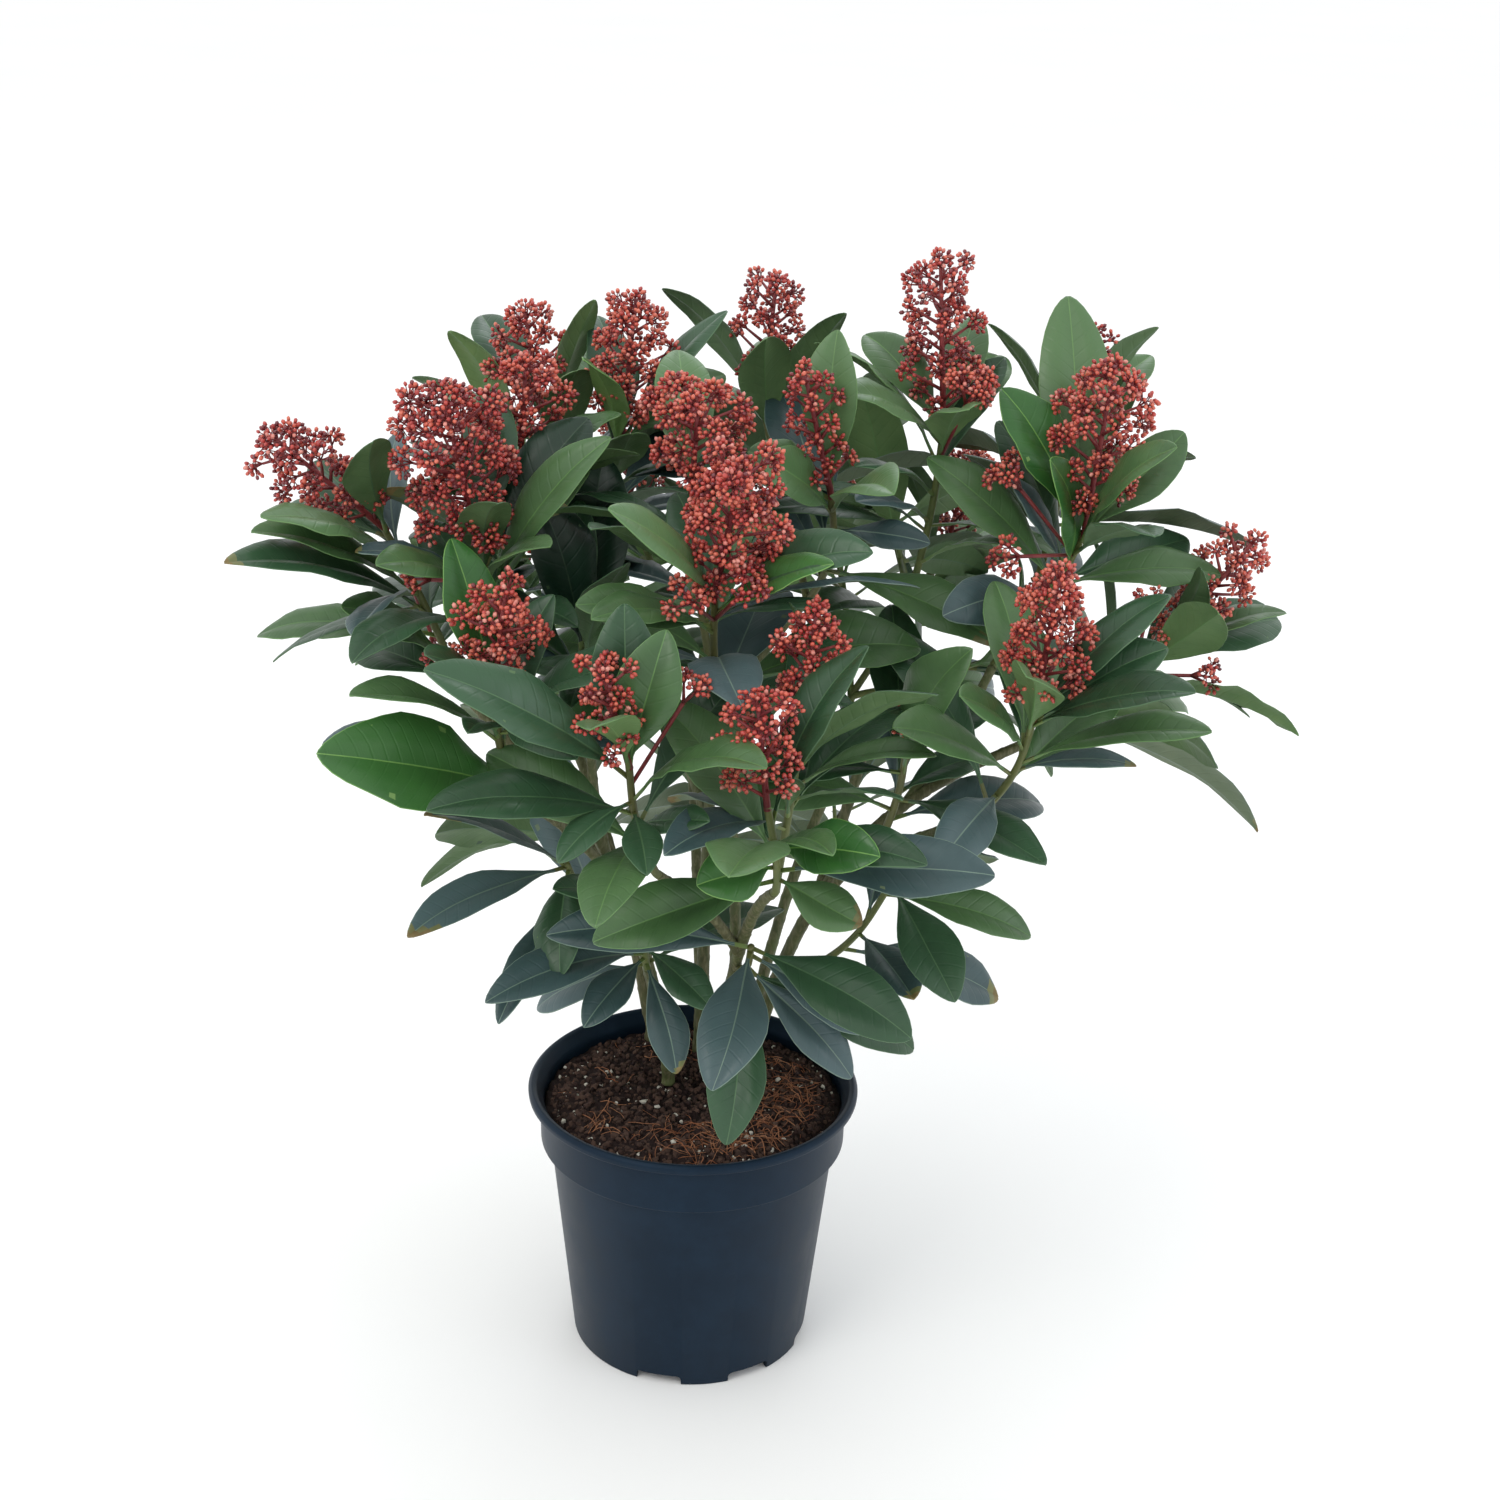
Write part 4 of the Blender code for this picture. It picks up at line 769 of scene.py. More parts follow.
def spindle(sides, stations, place):
    """A closed pod: a ball whose rings go to the given stations, shaped by place(t, turn)."""
    shape = bmesh.new()
    rings = len(stations) + 1
    bmesh.ops.create_uvsphere(shape, u_segments=sides, v_segments=rings, radius=1.0)
    along = (0.0, *stations, 1.0)
    for corner in shape.verts:
        from_foot = math.acos(max(-1.0, min(1.0, -corner.co.z)))
        turn = math.atan2(corner.co.y, corner.co.x)
        corner.co = place(along[round(from_foot / math.pi * rings)], turn)
    bmesh.ops.triangulate(shape, faces=shape.faces, quad_method="FIXED")
    return shape


class Leaf(NamedTuple):
    """A leaf from its foot, on the twig's centre line, to its tip."""

    foot: Vector
    tip: Vector
    face: Vector
    width: float


def blade_width(t):
    """How wide a leaf is at t, as a part of its full width: a long wedge, then a rounder end."""
    beyond = max(t - PETIOLE, 0.0) / (1 - PETIOLE)
    return math.sin(math.pi * beyond**WIDEST_LATE) ** mix(WEDGE_POWER, END_POWER, beyond)


def leaf_pod(leaf, room=0.0):
    """A leaf as a thin folded pod, made this much larger all round."""
    reach = leaf.tip - leaf.foot
    along = reach.normalized()
    face = (leaf.face - along * leaf.face.dot(along)).normalized()
    across = face.cross(along)
    bend = leaf.foot + reach / 2 + face * (2 * LEAF_ARCH * reach.length)

    def place(t, turn):
        centre = bezier(leaf.foot, bend, leaf.tip, t)
        if t in (0.0, 1.0):
            return centre
        half = leaf.width / 2 * blade_width(t) + room
        is_keel = math.sin(turn) > 0
        rise = -LEAF_THICKNESS - room if is_keel else LEAF_FOLD * half + room
        return centre - across * (half * math.cos(turn) / math.cos(math.pi / 6)) + face * rise

    return spindle(3, LEAF_STATIONS, place)


def bud_pod(foot, tip, radius, room=0.0):
    """A bunch of buds as one pod that widens towards its outer end."""
    axis = (tip - foot).normalized()
    side = axis.orthogonal().normalized()
    other = axis.cross(side)

    def place(t, turn):
        reach = radius + room if t == BUD_FULLEST_AT else 0.0
        return foot.lerp(tip, t) + turned(side, other, turn) * reach

    return spindle(4, (BUD_FULLEST_AT,), place)


class Solid(NamedTuple):
    """The surface of something already grown, its bounds, and the mass that owns it."""

    owner: str
    low: Vector
    high: Vector
    surface: BVHTree


def solid_of(owner, shape, but=None):
    """The surface of a bmesh, without the faces that meet at one place if that is given."""
    corners = [corner.co.copy() for corner in shape.verts]
    shape.verts.index_update()
    faces = [
        [corner.index for corner in face.verts]
        for face in shape.faces
        if but is None or all((corner.co - but).length > GAP for corner in face.verts)
    ]
    low = Vector([min(corner[i] for corner in corners) for i in range(3)])
    high = Vector([max(corner[i] for corner in corners) for i in range(3)])
    return Solid(owner, low, high, BVHTree.FromPolygons(corners, faces))


def meets(one, other):
    """Whether the surfaces of two solids cut each other."""
    if any(one.low[i] > other.high[i] or other.low[i] > one.high[i] for i in range(3)):
        return False
    return bool(one.surface.overlap(other.surface))


class Crown:
    """What has grown so far: whole solids for the other masses, and outer parts for their own."""

    def __init__(self):
        self.whole = []
        self.outer = []
        self.tips = {}

    def has_room(self, whole, fat):
        """Whether a new thing keeps off all but its own mass, as it is and with its clearance."""
        others = [solid for solid in self.whole if solid.owner != whole.owner]
        return not any(meets(fat, solid) or meets(whole, solid) for solid in others)

    def is_apart(self, outer):
        """Whether the outer part of a new thing keeps off the outer parts of its own mass."""
        return not any(solid.owner == outer.owner and meets(outer, solid) for solid in self.outer)

    def add(self, whole, outer):
        self.whole.append(whole)
        self.outer.append(outer)


def bloom_branches(shoot, dice, pitch, spreads, radius_share, radii=None):
    """Foot, outer end and bunch radius of each branch of a panicle, lowest first, then its top.

    The bunches all have one radius, or a share of it drawn for each branch from these radii.
    """
    head = Vector(shoot.head)
    reach = Vector(shoot.tip) - head
    axis = reach.normalized()
    across, back = square_pair(axis)
    start_turn = dice.uniform(0, math.tau)
    count = round(reach.length / pitch) + 1
    radius = shoot.bloom_width * radius_share
    branches = []
    for number in range(count):
        up = mix(BLOOM_FIRST_AT, BLOOM_LAST_AT, number / (count - 1))
        outward = turned(across, back, start_turn + number * GOLDEN_TURN)
        fullness = math.sin(math.pi * mix(*BLOOM_FULLNESS, up))
        spread = shoot.bloom_width / 2 * fullness * dice.uniform(*spreads)
        foot = head + reach * up
        tip = foot + outward * spread + axis * (spread * BLOOM_BRANCH_RISE)
        branches.append((foot, tip, radius * dice.uniform(*radii) if radii else radius))
    branches.append((head + reach * BLOOM_TOP_FROM, head + reach, radius))
    return branches


def spray_pods(spray, start):
    """The stalk of a small bunch, from its twig at start, and the bunch itself."""
    centre = Vector(spray.centre)
    half = (centre - start).normalized() * spray.width * SPRAY_HALF_LENGTH
    stalk = (start, centre, SPRAY_STALK_RADIUS)
    return [stalk, (centre - half, centre + half, spray.width * SPRAY_POD_RADIUS)]


def spiral_leaf(name, twig, number, attempt):
    """The leaf that the spiral gives here, moved a little further at each new attempt."""
    shoot = SHOOTS[name]
    dice = random.Random(f"{name} leaf {number} {attempt}")
    up = number / (shoot.leaves - 1)
    start_turn = random.Random(f"{name} turn").uniform(0, math.tau)
    stray = 1 + attempt
    turn_stray = dice.uniform(-LEAF_TURN_STRAY, LEAF_TURN_STRAY) * stray
    turn = start_turn + number * GOLDEN_TURN + math.radians(turn_stray)
    spread_stray = dice.uniform(-LEAF_SPREAD_STRAY, LEAF_SPREAD_STRAY) * stray
    spread = mix(LOW_LEAF_SPREAD, HIGH_LEAF_SPREAD, up) + math.radians(spread_stray)
    length = mix(LOW_LEAF_LENGTH, HIGH_LEAF_LENGTH, up) * dice.uniform(*LEAF_SIZES)
    length *= 1 - LEAF_SHRINK * attempt
    twig_length = sum((end - start).length for start, end in zip(twig.places, twig.places[1:]))
    run = min(LEAFY_RUN, twig_length * LEAFY_PART)
    foot, heading, _ = twig.at(1 - mix(1.0, HIGHEST_LEAF_GAP, up) * run / twig_length)
    reach = turned(heading, turned(*square_pair(heading), turn), spread)
    reach.z = max(reach.z - shoot.sag * (SAG_REACH - up), -shoot.sag * SAG_LIMIT)
    tip = foot + reach.normalized() * length
    return Leaf(foot, tip, heading, length * LEAF_SLENDERNESS * dice.uniform(*LEAF_SIZES))


def hides_stems(leaf):
    """Whether a leaf would hang down in front of the stems."""
    return leaf.tip.y < OPEN_BEFORE and leaf.tip.z < OPEN_BELOW


def shown_leaf(number, twig, attempt):
    """A leaf that shows well, turned a little to the front, and moved further at each attempt."""
    _, part, reach, width, _ = SHOWN_LEAVES[number]
    dice = random.Random(f"shown leaf {number} {attempt}")
    stray = Vector([dice.uniform(-1, 1) for _ in range(3)]) * SHOWN_STRAY * attempt
    foot, heading, _ = twig.at(min(part, HIGHEST_LEAF))
    tip = foot + Vector(reach) * (1 - SHOWN_SHRINK * attempt) + stray
    return Leaf(foot, tip, heading + Vector(SHOWN_FACE), width)


def try_leaf(crown, mass, leaf):
    """Adds a leaf to the crown if it has room there, and says whether it did."""
    tips = crown.tips.setdefault(mass, [])
    if any((leaf.tip - tip).length < TIP_SPACING for tip in tips):
        return False
    fat = leaf_pod(leaf, LEAF_CLEARANCE)
    true = leaf_pod(leaf)
    whole = solid_of(mass, true)
    outer = solid_of(mass, true, leaf.foot)
    free = crown.has_room(whole, solid_of(mass, fat)) and crown.is_apart(outer)
    fat.free()
    true.free()
    if free:
        crown.add(whole, outer)
        tips.append(leaf.tip)
    return free


def grow_pods(crown, mass, pods):
    """The shapes of pods that hang together, added to the crown, or none if one has no room."""
    shapes = [bud_pod(*pod) for pod in pods]
    wholes = [solid_of(mass, shape) for shape in shapes]
    fats = [solid_of(mass, bud_pod(*pod, LEAF_CLEARANCE)) for pod in pods]
    if not all(crown.has_room(whole, fat) for whole, fat in zip(wholes, fats)):
        return []
    for whole in wholes:
        crown.add(whole, whole)
    return shapes


class Batch:
    """Shapes gathered for one mesh: their corners, and their faces with the finish of each."""

    def __init__(self):
        self.corners = []
        self.faces = []
        self.finishes = []
        self.places = []
        self.total = 0

    def add(self, corners, *groups, places=None):
        """Adds one shape. A group is faces that all have as many corners, and their finish."""
        for faces, finish in groups:
            self.faces.append(faces + self.total)
            self.finishes.append(np.broadcast_to(finish, len(faces)))
        self.corners.append(corners)
        self.total += len(corners)
        if places is not None:
            self.places.append(places)

    def make(self, name, materials):
        """The mesh object of all that was gathered, shaded smooth."""
        corners = np.concatenate(self.corners).astype(np.float32)
        loops = np.concatenate([faces.ravel() for faces in self.faces]).astype(np.int32)
        sizes = np.concatenate([np.full(len(faces), faces.shape[1]) for faces in self.faces])
        mesh = bpy.data.meshes.new(name)
        mesh.vertices.add(len(corners))
        mesh.vertices.foreach_set("co", corners.ravel())
        mesh.loops.add(len(loops))
        mesh.loops.foreach_set("vertex_index", loops)
        mesh.polygons.add(len(sizes))
        mesh.polygons.foreach_set("loop_start", (np.cumsum(sizes) - sizes).astype(np.int32))
        finishes = np.concatenate(self.finishes).astype(np.int32)
        mesh.polygons.foreach_set("material_index", finishes)
        if self.places:
            places = np.concatenate(self.places).astype(np.float32)
            mesh.attributes.new("blade_place", "FLOAT_VECTOR", "POINT").data.foreach_set(
                "vector", places.ravel()
            )
        mesh.update(calc_edges=True)
        mesh.shade_smooth()
        for material in materials:
            mesh.materials.append(material)
        obj = bpy.data.objects.new(name, mesh)
        bpy.context.scene.collection.objects.link(obj)
        return obj


def unit(rows):
    """Each row of an array, made one long."""
    return rows / np.linalg.norm(rows, axis=-1, keepdims=True)


def square_to(headings):
    """Two directions square to each heading and to each other."""
    reference = np.eye(3)[np.argmin(np.abs(headings).sum(axis=0))]
    side = unit(np.cross(headings, reference))
    return side, np.cross(headings, side)


def ring_faces(rings, sides):
    """The four-cornered faces between rings of corners, each with this many sides."""
    ring, side = np.meshgrid(np.arange(rings - 1), np.arange(sides), indexing="ij")
    one = ring * sides + side
    other = ring * sides + (side + 1) % sides
    return np.stack([one, other, other + sides, one + sides], axis=-1).reshape(-1, 4)


def fan_faces(middle, first, sides, turned_over):
    """Three-cornered faces that close a ring round its middle corner."""
    one = first + np.arange(sides)
    other = first + (np.arange(sides) + 1) % sides
    order = [one, other] if turned_over else [other, one]
    return np.stack([np.full(sides, middle), *order], axis=-1)


def copied(faces, count, corners):
    """The same faces for each of several shapes with this many corners."""
    return (faces[None] + (np.arange(count) * corners)[:, None, None]).reshape(-1, faces.shape[1])


def add_tube(batch, places, radii, sides, finish):
    """Adds a closed tube along places. The radii are one for each ring or for each corner."""
    places = np.asarray(places, dtype=float)
    rings = len(places)
    headings = unit(np.gradient(places, axis=0))
    reference = np.eye(3)[np.argmin(np.abs(places[-1] - places[0]))]
    side = unit(np.cross(headings, reference))
    other = np.cross(headings, side)
    turns = np.arange(sides) * math.tau / sides
    radii = np.asarray(radii, dtype=float).reshape(rings, -1, 1)
    outward = side[:, None] * np.cos(turns)[:, None] + other[:, None] * np.sin(turns)[:, None]
    skin = (places[:, None] + outward * radii).reshape(-1, 3)
    corners = np.concatenate([skin, places[:1], places[-1:]])
    last = (rings - 1) * sides
    batch.add(
        corners,
        (ring_faces(rings, sides), finish),
        (fan_faces(len(skin), 0, sides, False), finish),
        (fan_faces(len(skin) + 1, last, sides, True), finish),
    )


def add_rods(batch, starts, ends, radius, sides, finish):
    """Adds many straight closed rods at once."""
    side, other = square_to(unit(ends - starts))
    turns = (np.arange(sides) * math.tau / sides)[:, None]
    outward = (side[:, None] * np.cos(turns) + other[:, None] * np.sin(turns)) * radius
    corners = np.concatenate([starts[:, None] + outward, ends[:, None] + outward], axis=1)
    foot = np.arange(sides)[::-1][None]
    groups = [ring_faces(2, sides), foot, sides + np.arange(sides)[None]]
    count = len(starts)
    batch.add(
        corners.reshape(-1, 3), *[(copied(faces, count, 2 * sides), finish) for faces in groups]
    )


def pebble_template():
    """The twelve corners of a ball of twenty faces, one corner at its upper pole, and the faces."""
    shape = bmesh.new()
    bmesh.ops.create_icosphere(shape, subdivisions=1, radius=1.0)
    corners = np.array([corner.co for corner in shape.verts])
    faces = np.array([[corner.index for corner in face.verts] for face in shape.faces])
    shape.free()
    return corners, faces


PEBBLE_CORNERS, PEBBLE_FACES = pebble_template()


def add_pebbles(batch, centres, axes, half_lengths, half_widths, finishes, jitter=None):
    """Adds many small balls at once, each stretched along its axis."""
    side, other = square_to(axes)
    shape = PEBBLE_CORNERS[None] * (1 if jitter is None else jitter)
    corners = (
        centres[:, None]
        + side[:, None] * shape[..., 0:1] * half_widths[:, None, None]
        + other[:, None] * shape[..., 1:2] * half_widths[:, None, None]
        + axes[:, None] * shape[..., 2:3] * half_lengths[:, None, None]
    )
    faces = copied(PEBBLE_FACES, len(centres), len(PEBBLE_CORNERS))
    batch.add(corners.reshape(-1, 3), (faces, np.repeat(finishes, len(PEBBLE_FACES))))


def even_directions(count, dice):
    """Directions spread evenly over a ball, turned at random."""
    number = np.arange(count) + 0.5
    height = 1 - 2 * number / count
    turn = number * GOLDEN_TURN + dice.uniform(0, math.tau)
    ring = np.sqrt(1 - height**2)
    return np.stack([ring * np.cos(turn), ring * np.sin(turn), height], axis=1)


def smooth_run(limb, step):
    """Places and radii along a smooth curve through a limb's joints."""
    knots = limb.places
    headings = []
    for number in range(len(knots)):
        before = knots[max(number - 1, 0)]
        after = knots[min(number + 1, len(knots) - 1)]
        headings.append((after - before).normalized())
    places = []
    radii = []
    for number in range(len(knots) - 1):
        start, end = knots[number], knots[number + 1]
        handle = (end - start).length / 3
        count = max(2, round((end - start).length / step))
        leaving = start + headings[number] * handle
        arriving = end - headings[number + 1] * handle
        run = interpolate_bezier(start, leaving, arriving, end, count + 1)
        for part in range(count):
            places.append(run[part])
            radii.append(mix(limb.radii[number], limb.radii[number + 1], part / count))
    places.append(knots[-1])
    radii.append(limb.radii[-1])
    return np.array([list(place) for place in places]), np.array(radii)


def distances(places):
    """How far each place is from the first, along the line."""
    return np.concatenate([[0.0], np.cumsum(np.linalg.norm(np.diff(places, axis=0), axis=1))])


def hump(distance, width):
    """One where the distance is nothing, falling off smoothly within about this width."""
    return np.exp(-((distance / width) ** 2))


def add_bark(batch, name, limb):
    """Adds a stem or bough with long ridges of bark and the rings that fallen leaves left."""
    places, radii = smooth_run(limb, BARK_STEP)
    run = distances(places)[:, None]
    turns = (np.arange(BARK_SIDES) * math.tau / BARK_SIDES)[None]
    dice = random.Random(f"{name} bark")
    start, drift, other = (dice.uniform(0, math.tau) for _ in range(3))
    (sway, sway_length), (wobble, wobble_length) = BARK_SWAYS
    sways = sway * np.sin(run / sway_length + start) + wobble * np.sin(run / wobble_length + drift)
    steady, fading = RIDGE_FADE
    fade = steady + fading * np.sin(run / RIDGE_FADE_LENGTH + other)
    ridges = np.sin(BARK_RIDGES * turns + sways) * fade
    long, short = KNOB_LENGTHS
    knobs = np.sin(KNOBS_ROUND * turns - run / long + drift) * np.sin(run / short + other)
    relief = BARK_RELIEF * (ridges + KNOB_SHARE * knobs)
    shift = run + NODE_SLANT * np.sin(turns + start) + dice.uniform(0, NODE_PITCH)
    from_node = (shift + NODE_PITCH / 2) % NODE_PITCH - NODE_PITCH / 2
    relief = relief + NODE_SWELL * hump(from_node, NODE_WIDTH)
    relief = relief - GROOVE_DEPTH * hump(from_node - GROOVE_PAST, GROOVE_WIDTH)
    thickness = np.minimum(radii / radii.max(), 1.0)[:, None]
    add_tube(batch, places, radii[:, None] + relief * thickness, BARK_SIDES, 0)


BLADE, UNDERSIDE, RIB, STALK, FADING, DRY = range(6)


def leaf_rows():
    """How far along a leaf its rows of corners lie."""
    steps = np.linspace(0.0, LAST_ROW_STEP, LEAF_ROWS - 2)
    beyond = (1 - np.cos(math.pi * steps)) / 2
    return np.concatenate([[0.0, PETIOLE / 2], PETIOLE + (1 - PETIOLE) * beyond])


def leaf_faces():
    """The faces of a leaf's closed skin and their finishes, from foot to tip.

    Each row is a ring that runs over the blade from one edge to the other and back below it.
    The pale rim has the finish of the rib.
    """
    across = 2 * (len(BLADE_COLUMNS) + 3)
    sides = 2 * across
    top = [RIB, *[BLADE] * (across // 2 - 2), RIB, *[BLADE] * (across // 2 - 2), RIB]
    below = [*[UNDERSIDE] * (across // 2 - 1), RIB, *[UNDERSIDE] * (across // 2 - 1)]
    finishes = np.tile([*top, RIB, *below, RIB], (LEAF_ROWS - 1, 1))
    finishes[:2] = STALK
    start = np.arange(across - 1)
    foot = np.stack([start, start + 1, sides - 2 - start, sides - 1 - start], axis=-1)
    last = (LEAF_ROWS - 1) * sides
    tip = foot[:, ::-1] + last
    return ring_faces(LEAF_ROWS, sides)[:, ::-1], finishes, foot, tip


ROWS = leaf_rows()
LEAF_QUADS, LEAF_FINISHES, LEAF_FOOT_CAP, LEAF_TIP_CAP = leaf_faces()
ROW_WIDTHS = np.array([blade_width(float(row)) for row in ROWS])


def dry_patch(finishes, dice):
    """Dries the end of a leaf, further down one side, with a yellowed edge round the patch."""
    sides = finishes.shape[1]
    side = np.concatenate([np.linspace(-1, 1, sides // 2), np.linspace(1, -1, sides // 2)])
    jitter = np.array([dice.uniform(*DRY_JITTERS) for _ in range(sides)])
    reach = dice.uniform(*DRY_ROWS) * (1 + dice.uniform(*DRY_SLANTS) * side) + jitter
    from_tip = np.arange(len(finishes), 0, -1)[:, None]
    finishes[from_tip <= reach + FADING_ROWS] = FADING
    finishes[from_tip <= reach] = DRY


def add_leaf(batch, leaf, dice, is_dry):
    """Adds a leaf with a folded, waved and twisted blade, a rib and a stalk."""
    reach = np.array(leaf.tip - leaf.foot)
    length = float(np.linalg.norm(reach))
    ahead = reach / length
    face = np.array(leaf.face)
    face = unit(face - ahead * (face @ ahead))
    across = np.cross(face, ahead)
    t = ROWS[:, None]

    is_blade = np.clip((t - PETIOLE) / STALK_TO_BLADE, 0.0, 1.0)
    is_blade = is_blade**2 * (3 - 2 * is_blade)
    thinnest = PETIOLE_HALF_WIDTH * np.interp(t, (0, PETIOLE, 0.2, 1), (1, 0.8, TIP_PART, TIP_PART))
    half = np.maximum(leaf.width / 2 * ROW_WIDTHS[:, None], thinnest)
    outline_wave = np.sin(dice.uniform(*OUTLINE_WAVES) * t + dice.uniform(0, math.tau))
    half = half * (1 + OUTLINE_WAVE_HEIGHT * outline_wave * is_blade)
    rib = np.minimum(RIB_HALF_WIDTH * (1.15 - 0.6 * t), 0.25 * half)
    margin = np.maximum(half - MARGIN_WIDTH, 0.8 * half)
    one_side = [rib, *[half * part for part in BLADE_COLUMNS], margin, half]
    x = np.concatenate([*[-column for column in one_side[::-1]], *one_side], axis=1)
    part = np.abs(x) / half

    fold = dice.uniform(*BLADE_FOLDS)
    bulge = dice.uniform(*BLADE_BULGES)
    roll = dice.uniform(*BLADE_ROLLS)
    waves = dice.uniform(*BLADE_WAVES) * math.tau
    wave = dice.uniform(*BLADE_WAVE_HEIGHTS)
    starts = np.where(x < 0, dice.uniform(0, math.tau), dice.uniform(0, math.tau))
    section = fold * part + bulge * np.sin(math.pi * part) - roll * part**4
    section = section + wave * part**2 * np.sin(waves * t + starts)
    rise = half * section * is_blade
    vein = np.sin((t * length - np.abs(x) * VEIN_SLANT) * math.tau / VEIN_PITCH)
    rise = rise + VEIN_RELIEF * vein * is_blade * (1 - part**2)
    rise = rise - RIB_GROOVE * hump(x, RIB_GROOVE_WIDTH) * is_blade
    blade = mix(EDGE_THICKNESS, BLADE_THICKNESS, 1 - part**2)
    blade = blade + RIB_DEPTH * (1.1 - 0.8 * t) * hump(x, RIB_KEEL_WIDTH)
    stalk = EDGE_THICKNESS + PETIOLE_DEPTH * np.sqrt(np.maximum(1 - part**2, 0))
    thickness = blade * is_blade + stalk * (1 - is_blade)

    arch = 4 * LEAF_ARCH * dice.uniform(*BLADE_ARCHES) * length * t * (1 - t)
    drooping = np.clip((t - DROOPS_FROM) / (1 - DROOPS_FROM), 0, 1)
    droop = dice.uniform(*TIP_DROOPS) * length * drooping**2
    sway = dice.uniform(*BLADE_SWAYS) * length * np.sin(math.pi * t) * t
    centre = np.array(leaf.foot) + ahead * length * t + face * (arch - droop) + across * sway
    twist = dice.uniform(*BLADE_TWISTS) * (t - TWISTS_FROM) * is_blade
    level = across * np.cos(twist) + face * np.sin(twist)
    upward = face * np.cos(twist) - across * np.sin(twist)
    top = centre[:, None] + level[:, None] * x[..., None] + upward[:, None] * rise[..., None]
    below = top - upward[:, None] * thickness[..., None]
    corners = np.concatenate([top, below[:, ::-1]], axis=1).reshape(-1, 3)

    finishes = LEAF_FINISHES.copy()
    if is_dry:
        dry_patch(finishes, dice)
    place = np.stack([x, t * length + 0 * x, 0 * x], axis=-1)
    places = np.concatenate([place, place[:, ::-1]], axis=1).reshape(-1, 3)
    batch.add(
        corners,
        (LEAF_QUADS, finishes.ravel()),
        (LEAF_FOOT_CAP, STALK),
        (LEAF_TIP_CAP, DRY if is_dry else RIB),
        places=places,
    )


def inner_leaf(name, twig, number, attempt):
    """A small leaf further down a twig, where the solids have none."""
    shoot = SHOOTS[name]
    dice = random.Random(f"{name} inner leaf {number} {attempt}")
    foot, heading, _ = twig.at(dice.uniform(*INNER_LEAVES_AT))
    turn = number * GOLDEN_TURN + dice.uniform(0, math.tau)
    spread = INNER_LEAF_SPREAD * dice.uniform(*INNER_SPREADS)
    reach = turned(heading, turned(*square_pair(heading), turn), spread)
    reach.z = max(reach.z - shoot.sag, -shoot.sag * SAG_LIMIT)
    length = INNER_LEAF_LENGTH * dice.uniform(*INNER_LENGTHS)
    width = length * LEAF_SLENDERNESS * dice.uniform(*INNER_WIDTHS)
    return Leaf(foot, foot + reach.normalized() * length, heading, width)


def leaf_kind(name, up):
    """What kind a leaf of a shoot is: old and grey-green with some painted blue-grey sheen low down,
    mostly dark above.
    """
    if SHOOTS[name].sag == OLD_SAG:
        chances = OLD_SHOOT_KINDS
    else:
        chances = LOW_LEAF_KINDS if up < LOW_LEAVES_UP_TO else HIGH_LEAF_KINDS
    return random.Random(f"{name} {up:.3f} kind").choices(*zip(*chances.items()))[0]


def first_with_room(crown, mass, tries):
    """The first of these leaves that has room in the crown, which it then joins, or None."""
    return next((leaf for leaf in tries if try_leaf(crown, mass, leaf)), None)


def other_leaf(crown, twigs, name, leaf_at, number):
    """A leaf by the rule leaf_at that has room and doesn't hide the stems, or None."""
    tries = (leaf_at(name, twigs[name], number, attempt) for attempt in range(LEAF_TRIES))
    in_place = (leaf for leaf in tries if not hides_stems(leaf))
    return first_with_room(crown, SHOOTS[name].mass, in_place)


def grow_leaves(crown, twigs):
    """Every leaf with its kind, in the order of the solids, and then the small inner ones."""
    grown = []
    for number, (name, *_, kind) in enumerate(SHOWN_LEAVES):
        tries = (shown_leaf(number, twigs[name], attempt) for attempt in range(SHOWN_LEAF_TRIES))
        grown.append((first_with_room(crown, SHOOTS[name].mass, tries), kind))
    for number in range(max(shoot.leaves for shoot in SHOOTS.values())):
        for name, shoot in SHOOTS.items():
            if number < shoot.leaves:
                leaf = other_leaf(crown, twigs, name, spiral_leaf, number)
                grown.append((leaf, leaf_kind(name, number / (shoot.leaves - 1))))
    for number in range(INNER_LEAVES):
        for name, shoot in SHOOTS.items():
            if shoot.sag != OLD_SAG:
                leaf = other_leaf(crown, twigs, name, inner_leaf, number)
                grown.append((leaf, leaf_kind(name, INNER_KIND_STEP * (number + 1))))
    return [(leaf, kind) for leaf, kind in grown if leaf]


def surface_of(owner, limb):
    """The plain surface that a twig has in the solids."""
    obj = round_limb("plain_twig", bpy.context.scene.collection, limb.places, limb.radii, 0, None)
    shape = bmesh.new()
    shape.from_mesh(obj.data)
    solid = solid_of(owner, shape)
    shape.free()
    mesh = obj.data
    bpy.data.objects.remove(obj)
    bpy.data.meshes.remove(mesh)
    return solid


